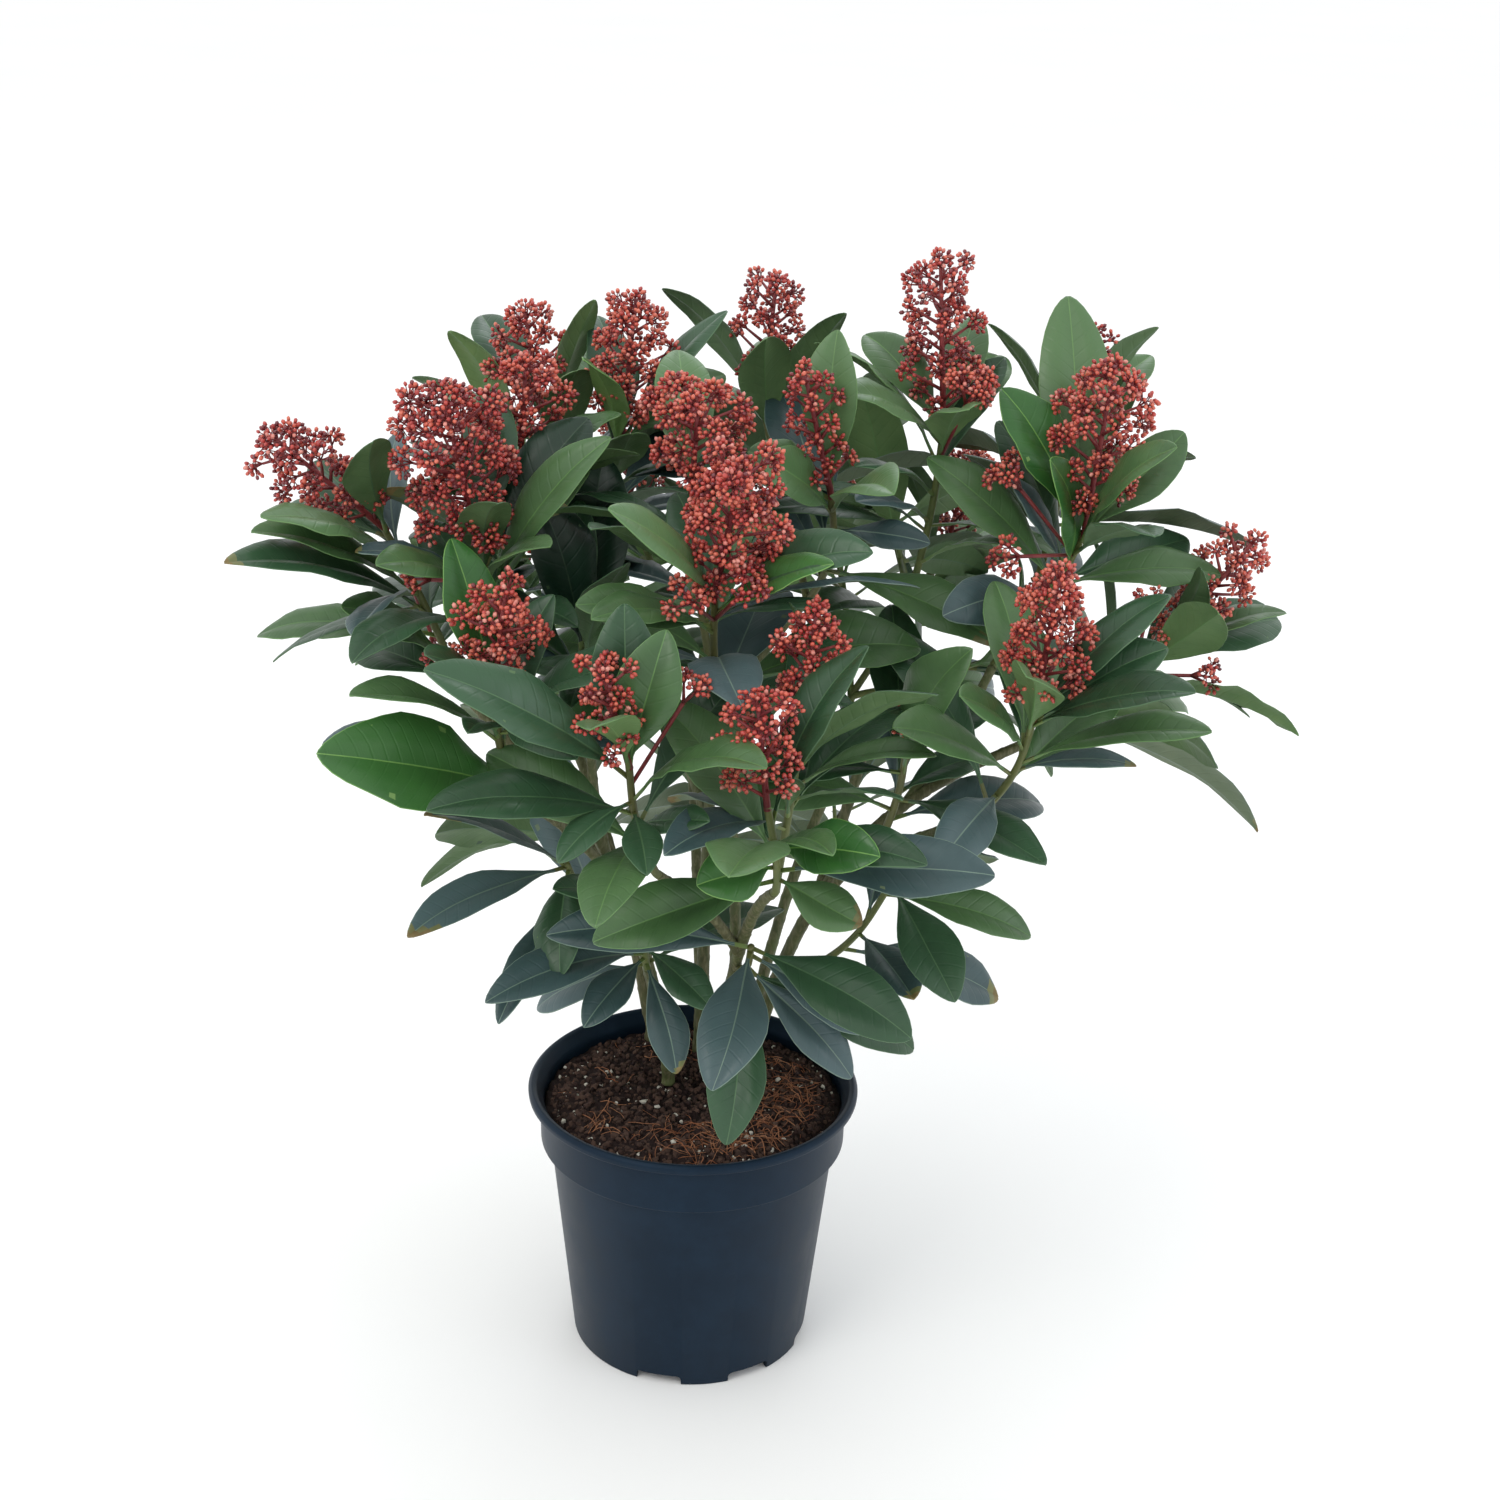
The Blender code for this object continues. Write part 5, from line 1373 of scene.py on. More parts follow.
def grow_crown(twigs):
    """All that the leaves keep clear of, and the sprays that had room, as in the solids."""
    crown = Crown()
    for name, node in frame["nodes"].items():
        if name.startswith("foliage_"):
            continue
        shape = bmesh.new()
        shape.from_mesh(node.data)
        whole = solid_of("", shape)
        crown.add(whole, whole)
        shape.free()
    for name, shoot in SHOOTS.items():
        whole = surface_of(shoot.mass, whole_twig(name, twigs[name]))
        crown.add(whole, whole)

    for name, shoot in SHOOTS.items():
        if shoot.bloom_width == 0:
            continue
        dice = random.Random(f"{name} bloom")
        for pod in bloom_branches(
            shoot, dice, BLOOM_BRANCH_PITCH, BLOOM_SPREADS, BLOOM_POD_RADIUS
        ):
            grow_pods(crown, shoot.mass, [pod])
    sprays = []
    for spray in SPRAYS:
        start, _, _ = twigs[spray.shoot].at(SPRAY_LEAVES_AT)
        if grow_pods(crown, SHOOTS[spray.shoot].mass, spray_pods(spray, start)):
            sprays.append((spray, start))
    return crown, sprays


def add_bunches(stalks, buds, branches, mood, dice):
    """Adds forking branches that end in bunches of buds, where no other bunch is in the way."""
    feet = np.array([list(foot) for foot, _, _ in branches])
    tips = np.array([list(tip) for _, tip, _ in branches])
    radii = np.array([radius for _, _, radius in branches])
    headings = unit(tips - feet)
    centres = tips - headings * radii[:, None]
    taken = np.zeros((0, 3))
    numbers = np.random.default_rng(dice.randrange(10**9))
    for number, (centre, heading, radius) in enumerate(zip(centres, headings, radii)):
        count = max(FEWEST_BUDS, round(4 * math.pi * radius**2 / BUD_AREA))
        outward = even_directions(count, dice)
        spots = centre + outward * radius * numbers.uniform(*BUNCH_SHELL, (count, 1))
        others = np.delete(np.arange(len(centres)), number)
        gaps = np.linalg.norm(spots[:, None] - centres[others][None], axis=2)
        is_buried = (gaps < radii[others] - BUD_BURIED_BY).any(axis=1)
        is_ahead = outward @ heading > BUNCH_BACK_OPEN
        is_kept = is_ahead & ~is_buried & (numbers.random(count) > BUD_LEFT_OUT)
        chosen = []
        for spot in spots[is_kept]:
            if (np.linalg.norm(taken - spot, axis=1) >= BUD_CLOSEST).all():
                taken = np.vstack([taken, spot])
                chosen.append(spot)
        hub = centre - heading * radius * BUNCH_HUB_BACK
        sway = np.cross(heading, (0.0, 0.0, 1.0)) * radius * dice.uniform(*BRANCH_SWAYS)
        way = [feet[number], feet[number] * 0.5 + hub * 0.5 + sway, hub]
        add_tube(stalks, way, np.linspace(*BRANCH_RADII, 3), BRANCH_SIDES, 0)
        if not chosen:
            continue
        chosen = np.array(chosen)
        forks = even_directions(2 * BUNCH_FORKS, dice)
        forks = forks[np.argsort(-(forks @ heading))][:BUNCH_FORKS]
        nodes = centre + forks * radius * BUNCH_FORK_REACH
        hubs = np.tile(hub, (len(nodes), 1))
        add_rods(stalks, hubs, nodes, BUNCH_FORK_RADIUS, BUNCH_FORK_SIDES, 0)
        nearest = np.argmin(np.linalg.norm(chosen[:, None] - nodes[None], axis=2), axis=1)
        axes = unit(chosen - nodes[nearest])
        sizes = numbers.uniform(*BUD_SIZES, len(chosen))
        ends = chosen - axes * BUD_LENGTH * PEDICEL_ENDS_AT
        add_rods(stalks, nodes[nearest], ends, PEDICEL_RADIUS, PEDICEL_SIDES, 0)
        finishes = numbers.choice(len(mood), len(chosen), p=mood)
        add_pebbles(buds, chosen, axes, BUD_LENGTH / 2 * sizes, BUD_WIDTH / 2 * sizes, finishes)


def spray_branches(spray, start):
    """Where a spray's stalk forks, and foot, tip and radius of its small bunches."""
    centre = Vector(spray.centre)
    heading = (centre - start).normalized()
    side = heading.orthogonal().normalized()
    other = heading.cross(side)
    hub = centre - heading * spray.width * SPRAY_HUB
    branches = []
    for number in range(SPRAY_BUNCHES):
        outward = turned(side, other, number * math.tau / SPRAY_BUNCHES)
        tip = centre + heading * spray.width * SPRAY_HUB + outward * spray.width * SPRAY_SPREAD
        branches.append((hub, tip, spray.width * SPRAY_BUNCH_RADIUS))
    return hub, branches


def region_of(place):
    """Which of the pieces that split the crown a panicle belongs to."""
    if place.y > BACK_FROM:
        return "back"
    if place.x < LEFT_UP_TO:
        return "left"
    return "middle" if place.x < RIGHT_FROM else "right"


def linear(colour):
    """An sRGB hex value as linear red, green and blue, with full opacity."""
    parts = []
    for start in (1, 3, 5):
        part = int(colour[start : start + 2], 16) / 255
        parts.append(part / 12.92 if part <= 0.04045 else ((part + 0.055) / 1.055) ** 2.4)
    return (*parts, 1.0)


def set_inputs(material, node, inputs):
    """Gives a node's inputs their plain values, or links them to the sockets given for them."""
    for name, value in inputs.items():
        if isinstance(value, bpy.types.NodeSocket):
            material.node_tree.links.new(value, node.inputs[name])
        else:
            node.inputs[name].default_value = value


def add_node(material, kind, inputs, **settings):
    """Adds a node with its settings, and with its inputs as plain values or sockets to link."""
    node = material.node_tree.nodes.new(kind)
    for name, value in settings.items():
        setattr(node, name, value)
    set_inputs(material, node, inputs)
    return node.outputs


def new_material(name):
    """An empty material, and its shader."""
    material = bpy.data.materials.new(name)
    material.use_nodes = True
    return material, material.node_tree.nodes["Principled BSDF"]


# How the inputs and outputs of a colour mix are numbered
MIX_PART, MIX_ONE, MIX_OTHER, MIX_RESULT = 0, 6, 7, 2

METRES_PER_MM = 0.001


def per_metre(millimetres):
    """The scale of a noise whose patches are this wide."""
    return 1 / (millimetres * METRES_PER_MM)


def mottled_tone(material, tones, patch_mm, odd_one=0.5):
    """A colour that shifts from tone to tone in soft patches and from one leaf or bud to the next."""
    place = add_node(material, "ShaderNodeTexCoord", {})["Object"]
    patches = add_node(
        material,
        "ShaderNodeTexNoise",
        {"Vector": place, "Scale": per_metre(patch_mm), "Detail": 3.0, "Roughness": 0.55},
    )["Fac"]
    spread = add_node(
        material, "ShaderNodeMapRange", {"Value": patches, "From Min": 0.32, "From Max": 0.68}
    )["Result"]
    one, other, odd = [linear(tone) for tone in tones]
    by_patch = add_node(
        material,
        "ShaderNodeMix",
        {MIX_PART: spread, MIX_ONE: one, MIX_OTHER: other},
        data_type="RGBA",
    )[MIX_RESULT]
    each = add_node(material, "ShaderNodeNewGeometry", {})["Random Per Island"]
    by_leaf = add_node(material, "ShaderNodeMath", {0: each, 1: odd_one}, operation="MULTIPLY")[0]
    return add_node(
        material,
        "ShaderNodeMix",
        {MIX_PART: by_leaf, MIX_ONE: by_patch, MIX_OTHER: odd},
        data_type="RGBA",
    )[MIX_RESULT]


def vein_height(material):
    """A height that dips in fine lines where a blade's side veins run, forward from the rib."""
    place = add_node(material, "ShaderNodeAttribute", {}, attribute_name="blade_place")["Vector"]
    parts = add_node(material, "ShaderNodeSeparateXYZ", {"Vector": place})
    off_rib = add_node(material, "ShaderNodeMath", {0: parts["X"]}, operation="ABSOLUTE")[0]
    slanted = add_node(
        material,
        "ShaderNodeMath",
        {0: off_rib, 1: -VEIN_SLANT, 2: parts["Y"]},
        operation="MULTIPLY_ADD",
    )[0]
    from_vein = add_node(
        material, "ShaderNodeMath", {0: slanted, 1: VEIN_PITCH / 2}, operation="PINGPONG"
    )[0]
    return add_node(
        material,
        "ShaderNodeMapRange",
        {"Value": from_vein, "From Min": 0.0, "From Max": VEIN_WIDTH},
        interpolation_type="SMOOTHSTEP",
    )["Result"]


class Grain(NamedTuple):
    """A fine grain in a surface: how wide and deep it is, and how much of it shows."""

    width_mm: float
    depth_mm: float
    strength: float


def grain_bump(material, grain, height=None):
    """A bump of fine grain, with a coarser height added if one is given."""
    place = add_node(material, "ShaderNodeTexCoord", {})["Object"]
    rise = add_node(
        material,
        "ShaderNodeTexNoise",
        {"Vector": place, "Scale": per_metre(grain.width_mm), "Detail": 2.0},
    )["Fac"]
    if height is not None:
        rise = add_node(
            material, "ShaderNodeMath", {0: rise, 1: 0.5, 2: height}, operation="MULTIPLY_ADD"
        )[0]
    depth = grain.depth_mm * METRES_PER_MM
    return add_node(
        material, "ShaderNodeBump", {"Height": rise, "Distance": depth, "Strength": grain.strength}
    )["Normal"]


def mottled_finish(name, tones, patch_mm, odd_one, grain, others, has_veins=False):
    """A material of mottled tones under a fine grain, with other inputs of its shader."""
    material, shader = new_material(name)
    height = vein_height(material) if has_veins else None
    tone = mottled_tone(material, tones, patch_mm, odd_one)
    bump = grain_bump(material, grain, height)
    set_inputs(material, shader, {"Base Color": tone, "Normal": bump, **others})
    return material


def leaf_blade(kind, look):
    """The waxed upper side of an evergreen leaf: deep colour under a soft uneven sheen."""
    material, shader = new_material(f"waxed leaf blade {kind}")
    place = add_node(material, "ShaderNodeTexCoord", {})["Object"]
    smears = add_node(
        material, "ShaderNodeTexNoise", {"Vector": place, "Scale": per_metre(9), "Detail": 4.0}
    )["Fac"]
    sheen = add_node(
        material,
        "ShaderNodeMapRange",
        {
            "Value": smears,
            "From Min": 0.3,
            "From Max": 0.7,
            "To Min": look.roughness - 0.07,
            "To Max": look.roughness + 0.09,
        },
    )["Result"]
    tone = mottled_tone(material, look.blade, 22, 0.8)
    bump = grain_bump(material, Grain(0.9, 0.16, 0.5), vein_height(material))
    set_inputs(
        material, shader, {"Base Color": tone, "Roughness": sheen, "IOR": 1.45, "Normal": bump}
    )
    return material


def leaf_underside(kind, look):
    """The underside of the leaf: paler, matte and faintly netted."""
    return mottled_finish(
        f"leaf underside {kind}",
        look.underside,
        14,
        0.7,
        Grain(0.7, 0.15, 0.6),
        {"Roughness": 0.58, "IOR": 1.42},
        has_veins=True,
    )


def plain_leaf_part(name, tones, patch_mm, roughness, grain=Grain(0.6, 0.08, 0.5)):
    """A rib, stalk or dry tip: one soft tone with a little grain."""
    return mottled_finish(name, tones, patch_mm, 0.5, grain, {"Roughness": roughness})


def bud_skin(name, tones):
    """A closed bud's waxy scales: a broad soft highlight on saturated red."""
    waxy = {"Roughness": 0.34, "Coat Weight": 0.35, "Coat Roughness": 0.22}
    return mottled_finish(name, tones, 1.6, 0.9, Grain(0.8, 0.15, 0.4), waxy)


def panicle_stalk():
    """Young stalks of the panicles, maroon and slightly downy."""
    tones = ("#7C2B2F", "#9A3E3B", "#65262F")
    grain = Grain(0.5, 0.08, 0.5)
    return mottled_finish("maroon panicle stalk", tones, 5, 0.5, grain, {"Roughness": 0.5})


def young_bark():
    """This year's twigs: smooth green skin going brown in streaks."""
    tones = ("#4E6130", "#66703A", "#5A4A30")
    grain = Grain(0.8, 0.12, 0.6)
    return mottled_finish("green twig skin", tones, 7, 0.5, grain, {"Roughness": 0.55})


def crumbly(name, tones, patch_mm, roughness, grain):
    """Peat, crumbs, coir or perlite: dull, and uneven down to the smallest grain."""
    dull = {"Roughness": roughness, "Specular IOR Level": 0.25}
    return mottled_finish(name, tones, patch_mm, 0.6, grain, dull)


def old_bark():
    """Older stems: smooth olive skin with thin grey-brown cork in streaks along the stem."""
    material, shader = new_material("olive stem bark")
    place = add_node(material, "ShaderNodeTexCoord", {})["Object"]
    drawn_out = add_node(
        material, "ShaderNodeMapping", {"Vector": place, "Scale": (1.0, 1.0, 0.22)}
    )["Vector"]
    streaks = add_node(
        material,
        "ShaderNodeTexNoise",
        {"Vector": drawn_out, "Scale": per_metre(1.8), "Detail": 5.0, "Roughness": 0.65},
    )["Fac"]
    cork = add_node(
        material, "ShaderNodeMapRange", {"Value": streaks, "From Min": 0.46, "From Max": 0.72}
    )["Result"]
    skin = mottled_tone(material, ("#434A2B", "#566236", "#524A30"), 12)
    tone = add_node(
        material,
        "ShaderNodeMix",
        {MIX_PART: cork, MIX_ONE: skin, MIX_OTHER: linear("#7B7557")},
        data_type="RGBA",
    )[MIX_RESULT]
    bump = add_node(
        material, "ShaderNodeBump", {"Height": streaks, "Distance": 0.0003, "Strength": 0.6}
    )["Normal"]
    set_inputs(material, shader, {"Base Color": tone, "Roughness": 0.66, "Normal": bump})
    return material


def pot_plastic():
    """Recycled black polypropylene, injection moulded: blue-black, satin, dusty in patches."""
    material, shader = new_material("moulded black polypropylene")
    place = add_node(material, "ShaderNodeTexCoord", {})["Object"]
    dust = add_node(
        material,
        "ShaderNodeTexNoise",
        {"Vector": place, "Scale": per_metre(28), "Detail": 6.0, "Roughness": 0.7},
    )["Fac"]
    dusty = add_node(
        material,
        "ShaderNodeMapRange",
        {"Value": dust, "From Min": 0.42, "From Max": 0.75, "To Max": 0.4},
    )["Result"]
    tone = add_node(
        material,
        "ShaderNodeMix",
        {MIX_PART: dusty, MIX_ONE: linear("#0F1C28"), MIX_OTHER: linear("#1C2F40")},
        data_type="RGBA",
    )[MIX_RESULT]
    dull = add_node(
        material, "ShaderNodeMapRange", {"Value": dust, "To Min": 0.34, "To Max": 0.56}
    )["Result"]
    set_inputs(
        material,
        shader,
        {
            "Base Color": tone,
            "Roughness": dull,
            "Specular IOR Level": 0.26,
            "Specular Tint": linear("#B0CCF2"),
            "Normal": grain_bump(material, Grain(0.45, 0.05, 0.45)),
        },
    )
    return material


class LeafLook(NamedTuple):
    """The tones of a kind of leaf, its blade's roughness, and the share that is dry at the tip."""

    blade: tuple
    underside: tuple
    rib: tuple
    roughness: float
    dry_share: float


LEAF_LOOKS = {
    "deep": LeafLook(
        ("#14281D", "#1B3426", "#233E2D"),
        ("#3C5538", "#4A6345", "#435C42"),
        ("#2A4030", "#354C38", "#3B5440"),
        0.34,
        0.04,
    ),
    "dark": LeafLook(
        ("#203B26", "#2D4E31", "#3B5C41"),
        ("#4A673A", "#5B774A", "#557052"),
        ("#3C5D3C", "#4B6D48", "#577856"),
        0.36,
        0.02,
    ),
    "green": LeafLook(
        ("#395733", "#496B3F", "#597A4F"),
        ("#587844", "#6A8650", "#628056"),
        ("#4F7540", "#5F854C", "#6A8E58"),
        0.38,
        0.03,
    ),
    "fresh": LeafLook(
        ("#275425", "#33632C", "#427138"),
        ("#668A48", "#779857", "#6E9156"),
        ("#5C8C40", "#6C9A4C", "#7BA45A"),
        0.36,
        0.02,
    ),
    # old: the blade tones are partly these leaves' own grey-green and partly a painted blue-grey sheen
    # of reflected light
    "old": LeafLook(
        ("#2B4142", "#3B5152", "#52676A"),
        ("#5C6E52", "#6C7B5E", "#66765F"),
        ("#5C7468", "#6B8276", "#788C82"),
        0.40,
        0.22,
    ),
}
STALK_TONES = ("#5E7A3C", "#6F8044", "#6A503C")
FADING_TONES = ("#5F6D40", "#7A7B4A", "#6B6444")
DRY_TONES = ("#77683F", "#8E7E4F", "#5C4A30")
PEAT_TONES = ("#191112", "#291D1C", "#3E2C28")
CRUMB_TONES = ("#1E1516", "#3A2A27", "#6F564A")
PERLITE_TONES = ("#CFCBC0", "#E6E3DA", "#B9B2A2")
COIR_TONES = ("#7A4832", "#A36747", "#C79370")

# The finishes of buds, and how a panicle deals them: coral, brick red, pink and dark
BUD_LOOKS = (
    ("coral bud scales", ("#BC4438", "#CA5442", "#D8745C")),
    ("brick red bud scales", ("#9A2A29", "#AE3731", "#BB463D")),
    ("pink bud scales", ("#C25A50", "#D0786A", "#DE9688")),
    ("dark red bud scales", ("#581A24", "#702429", "#822E34")),
)
MOODS = (
    (0.45, 0.36, 0.12, 0.07),
    (0.32, 0.44, 0.10, 0.14),
    (0.50, 0.28, 0.16, 0.06),
    (0.24, 0.44, 0.08, 0.24),
)


def leaf_materials(kind):
    """The finishes of a kind of leaf, in the order of their numbers."""
    look = LEAF_LOOKS[kind]
    return [
        leaf_blade(kind, look),
        leaf_underside(kind, look),
        plain_leaf_part(f"leaf rib {kind}", look.rib, 10, 0.45),
        plain_leaf_part(f"leaf stalk {kind}", STALK_TONES, 8, 0.5),
        plain_leaf_part(f"yellowed leaf {kind}", FADING_TONES, 5, 0.5),
        plain_leaf_part(f"dry leaf tip {kind}", DRY_TONES, 3, 0.7, Grain(0.8, 0.2, 0.5)),
    ]


def rounded_outline(corners):
    """The points of an outline whose corners (radius, height, rounding) are rounded by arcs."""
    points = []
    for number, (radius, height, rounding) in enumerate(corners):
        here = Vector((radius, height))
        if rounding == 0:
            points.append(tuple(here))
            continue
        before = Vector(corners[number - 1][:2])
        after = Vector(corners[number + 1][:2])
        start = here + (before - here).normalized() * rounding
        end = here + (after - here).normalized() * rounding
        points += [tuple(bezier(start, here, end, step / ARC_STEPS)) for step in range(ARC_STEPS + 1)]
    return points


def add_turned(batch, outline, steps, finish):
    """Adds an outline turned round the upright axis, which its first and last points lie on."""
    turns = np.arange(steps) * math.tau / steps
    rings = np.array(outline[1:-1])
    around = np.stack([np.cos(turns), np.sin(turns)], axis=1)
    corners = np.concatenate(
        [
            rings[:, None, 0:1] * around[None],
            np.broadcast_to(rings[:, None, 1:2], (len(rings), steps, 1)),
        ],
        axis=2,
    ).reshape(-1, 3)
    ends = np.array([[0.0, 0.0, outline[0][1]], [0.0, 0.0, outline[-1][1]]])
    count = len(corners)
    batch.add(
        np.concatenate([corners, ends]),
        (ring_faces(len(rings), steps)[:, ::-1], finish),
        (fan_faces(count, 0, steps, True), finish),
        (fan_faces(count + 1, count - steps, steps, False), finish),
    )


def pot_outline():
    """Half of the pot's section, from the middle of its floor over the lip to its underside."""
    collar_top = POT_HEIGHT - LIP_DEPTH
    channel_outer = FOOT_RADIUS - FOOT_RING_WIDTH
    return rounded_outline(
        [
            (0.0, FLOOR_TOP, 0),
            (body_radius(FLOOR_TOP) - WALL, FLOOR_TOP, POT_EDGE),
            (body_radius(COLLAR_BOTTOM) - WALL, COLLAR_BOTTOM + WALL, POT_EDGE),
            (COLLAR_RADIUS - WALL, COLLAR_BOTTOM + 2 * WALL, POT_EDGE),
            (COLLAR_RADIUS - WALL, collar_top - LIP_EDGE, LIP_EDGE),
            (LIP_RADIUS - 2.2 * LIP_EDGE, POT_HEIGHT - 0.4 * LIP_EDGE, POT_EDGE),
            (LIP_RADIUS - LIP_EDGE, POT_HEIGHT, POT_EDGE),
            (LIP_RADIUS, POT_HEIGHT - LIP_EDGE, LIP_EDGE / 2),
            (LIP_RADIUS - LIP_DRAFT, collar_top, POT_EDGE),
            (COLLAR_RADIUS + COLLAR_DRAFT, collar_top, POT_EDGE),
            (COLLAR_RADIUS, COLLAR_BOTTOM, POT_EDGE),
            (body_radius(COLLAR_BOTTOM), COLLAR_BOTTOM - WALL, POT_EDGE),
            (FOOT_RADIUS, 0.0, POT_EDGE),
            (channel_outer, 0.0, POT_EDGE),
            (channel_outer, CHANNEL_HEIGHT, POT_EDGE),
            (CHANNEL_INNER_RADIUS, CHANNEL_HEIGHT, POT_EDGE),
            (CHANNEL_INNER_RADIUS, 0.0, POT_EDGE),
            (0.0, 0.0, 0),
        ]
    )


def notch_cutter(number):
    """The block that cuts one notch of the foot ring, with rounded upper corners."""
    turn = FIRST_NOTCH_TURN + number * NOTCH_PITCH
    outward = Vector((math.sin(turn), -math.cos(turn), 0.0))
    place = Matrix.Translation(outward * (FOOT_RADIUS - FOOT_RING_WIDTH / 2))
    place @= Matrix.Rotation(turn, 4, "Z")
    length = FOOT_RADIUS * NOTCH_TURN
    place @= Matrix.Diagonal((length, 3 * FOOT_RING_WIDTH, 2 * NOTCH_HEIGHT, 1.0))
    shape = bmesh.new()
    bmesh.ops.create_cube(shape, size=1.0, matrix=place)
    upper_edges = []
    for edge in shape.edges:
        run = (edge.verts[0].co - edge.verts[1].co).normalized()
        if all(corner.co.z > 0 for corner in edge.verts) and abs(run.dot(outward)) > 0.9:
            upper_edges.append(edge)
    bmesh.ops.bevel(
        shape,
        geom=upper_edges,
        offset=NOTCH_ROUNDING,
        offset_type="OFFSET",
        segments=ARC_STEPS,
        profile=0.5,
        affect="EDGES",
    )
    return put_in(bpy.context.scene.collection, "notch", shape, [])


def drain_cutter(number):
    """The round bar that cuts one drain hole through the floor."""
    drain_circle = (FOOT_RADIUS - FOOT_RING_WIDTH + CHANNEL_INNER_RADIUS) / 2
    turn = FIRST_DRAIN_TURN + math.tau * number / DRAIN_COUNT
    middle = (drain_circle * math.cos(turn), drain_circle * math.sin(turn), FLOOR_TOP)
    shape = bmesh.new()
    bmesh.ops.create_cone(
        shape,
        cap_ends=True,
        segments=DRAIN_SIDES,
        radius1=DRAIN_RADIUS,
        radius2=DRAIN_RADIUS,
        depth=4 * FLOOR_THICKNESS,
        matrix=Matrix.Translation(middle),
    )
    return put_in(bpy.context.scene.collection, "drain", shape, [])


def make_pot():
    """The pot: rolled lip, collar, foot ring with rounded notches, and drain holes."""
    batch = Batch()
    add_turned(batch, pot_outline(), POT_STEPS, 0)
    pot = batch.make("plastic_pot", [pot_plastic()])
    cutters = [notch_cutter(number) for number in range(NOTCH_COUNT)]
    cutters += [drain_cutter(number) for number in range(DRAIN_COUNT)]
    for cutter in cutters:
        cut = pot.modifiers.new("cut", "BOOLEAN")
        cut.operation = "DIFFERENCE"
        cut.object = cutter
    bpy.context.view_layer.update()
    graph = bpy.context.evaluated_depsgraph_get()
    made = bpy.data.meshes.new_from_object(pot.evaluated_get(graph))
    pot.modifiers.clear()
    pot.data = made
    for cutter in cutters:
        bpy.data.objects.remove(cutter)
    made.shade_smooth()
    made.set_sharp_from_angle(angle=SHARP_FROM)
    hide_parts("pot")
    return pot


def soil_height(x, y):
    """The height of the potting soil's top, lumpy and a little lower by the wall."""
    radius = np.hypot(x, y)
    edge = COLLAR_RADIUS - WALL
    sunk = np.clip((radius - SOIL_LEVEL_RADIUS) / (edge - SOIL_LEVEL_RADIUS), 0, 1)
    (warp, warp_rate), (bend, bend_rate) = SOIL_WAVE_WARPS
    lumps = np.zeros_like(x)
    for number, (pitch, height) in enumerate(SOIL_WAVES):
        turn = SOIL_WAVE_TURN + number * GOLDEN_TURN
        ahead = x * math.cos(turn) + y * math.sin(turn)
        aside = y * math.cos(turn) - x * math.sin(turn)
        one = np.sin(math.tau * ahead / pitch + warp * np.sin(aside / pitch * warp_rate))
        other = np.sin(math.tau * aside / pitch + bend * np.sin(ahead / pitch * bend_rate))
        lumps = lumps + height * (one + other)
    lumps = SOIL_LUMP_SHARE * lumps - SOIL_LUMP_DROP
    return SOIL_TOP - SOIL_EDGE_DROP * sunk + SOIL_LUMP * lumps


def make_peat(numbers):
    """The lumpy body of the soil, which fills the pot."""
    tops = [(SOIL_EDGE * (number + 1) / SOIL_RINGS, SOIL_TOP) for number in range(SOIL_RINGS)]
    outline = [
        (0.0, SOIL_TOP),
        *tops,
        (SOIL_EDGE, COLLAR_BOTTOM + 3 * WALL),
        (body_radius(COLLAR_BOTTOM) - SOIL_INSET, COLLAR_BOTTOM + WALL),
        (body_radius(FLOOR_TOP) - SOIL_INSET, FLOOR_TOP + GAP),
        (0.0, FLOOR_TOP + GAP),
    ]
    batch = Batch()
    add_turned(batch, outline, SOIL_SECTORS, 0)
    corners = batch.corners[0]
    is_top = corners[:, 2] > SOIL_TOP - GAP
    grit = numbers.uniform(-SOIL_GRIT, SOIL_GRIT, is_top.sum())
    corners[is_top, 2] = soil_height(corners[is_top, 0], corners[is_top, 1]) + grit
    look = crumbly("damp peat", PEAT_TONES, 6, 0.92, Grain(0.5, 0.5, 0.9))
    return batch.make("peat", [look])


def scatter_grains(numbers, name, count, sizes, look):
    """Uneven grains of these sizes, half sunk in the soil."""
    radius = (SOIL_EDGE - GRAINS_OFF_WALL) * np.sqrt(numbers.random(count))
    turn = numbers.uniform(0, math.tau, count)
    x, y = radius * np.cos(turn), radius * np.sin(turn)
    size = numbers.uniform(*sizes, count)
    height = soil_height(x, y) + size * numbers.uniform(*GRAIN_RISES, count)
    centres = np.stack([x, y, height], axis=1)
    axes = unit(numbers.normal(size=(count, 3)))
    jitter = numbers.uniform(*GRAIN_JITTERS, (count, len(PEBBLE_CORNERS), 1))
    lengths = size * numbers.uniform(*GRAIN_LENGTHS, count)
    pile = Batch()
    add_pebbles(pile, centres, axes, lengths, size, np.zeros(count, int), jitter)
    grains = pile.make(name, [look])
    grains.data.shade_flat()
    return grains


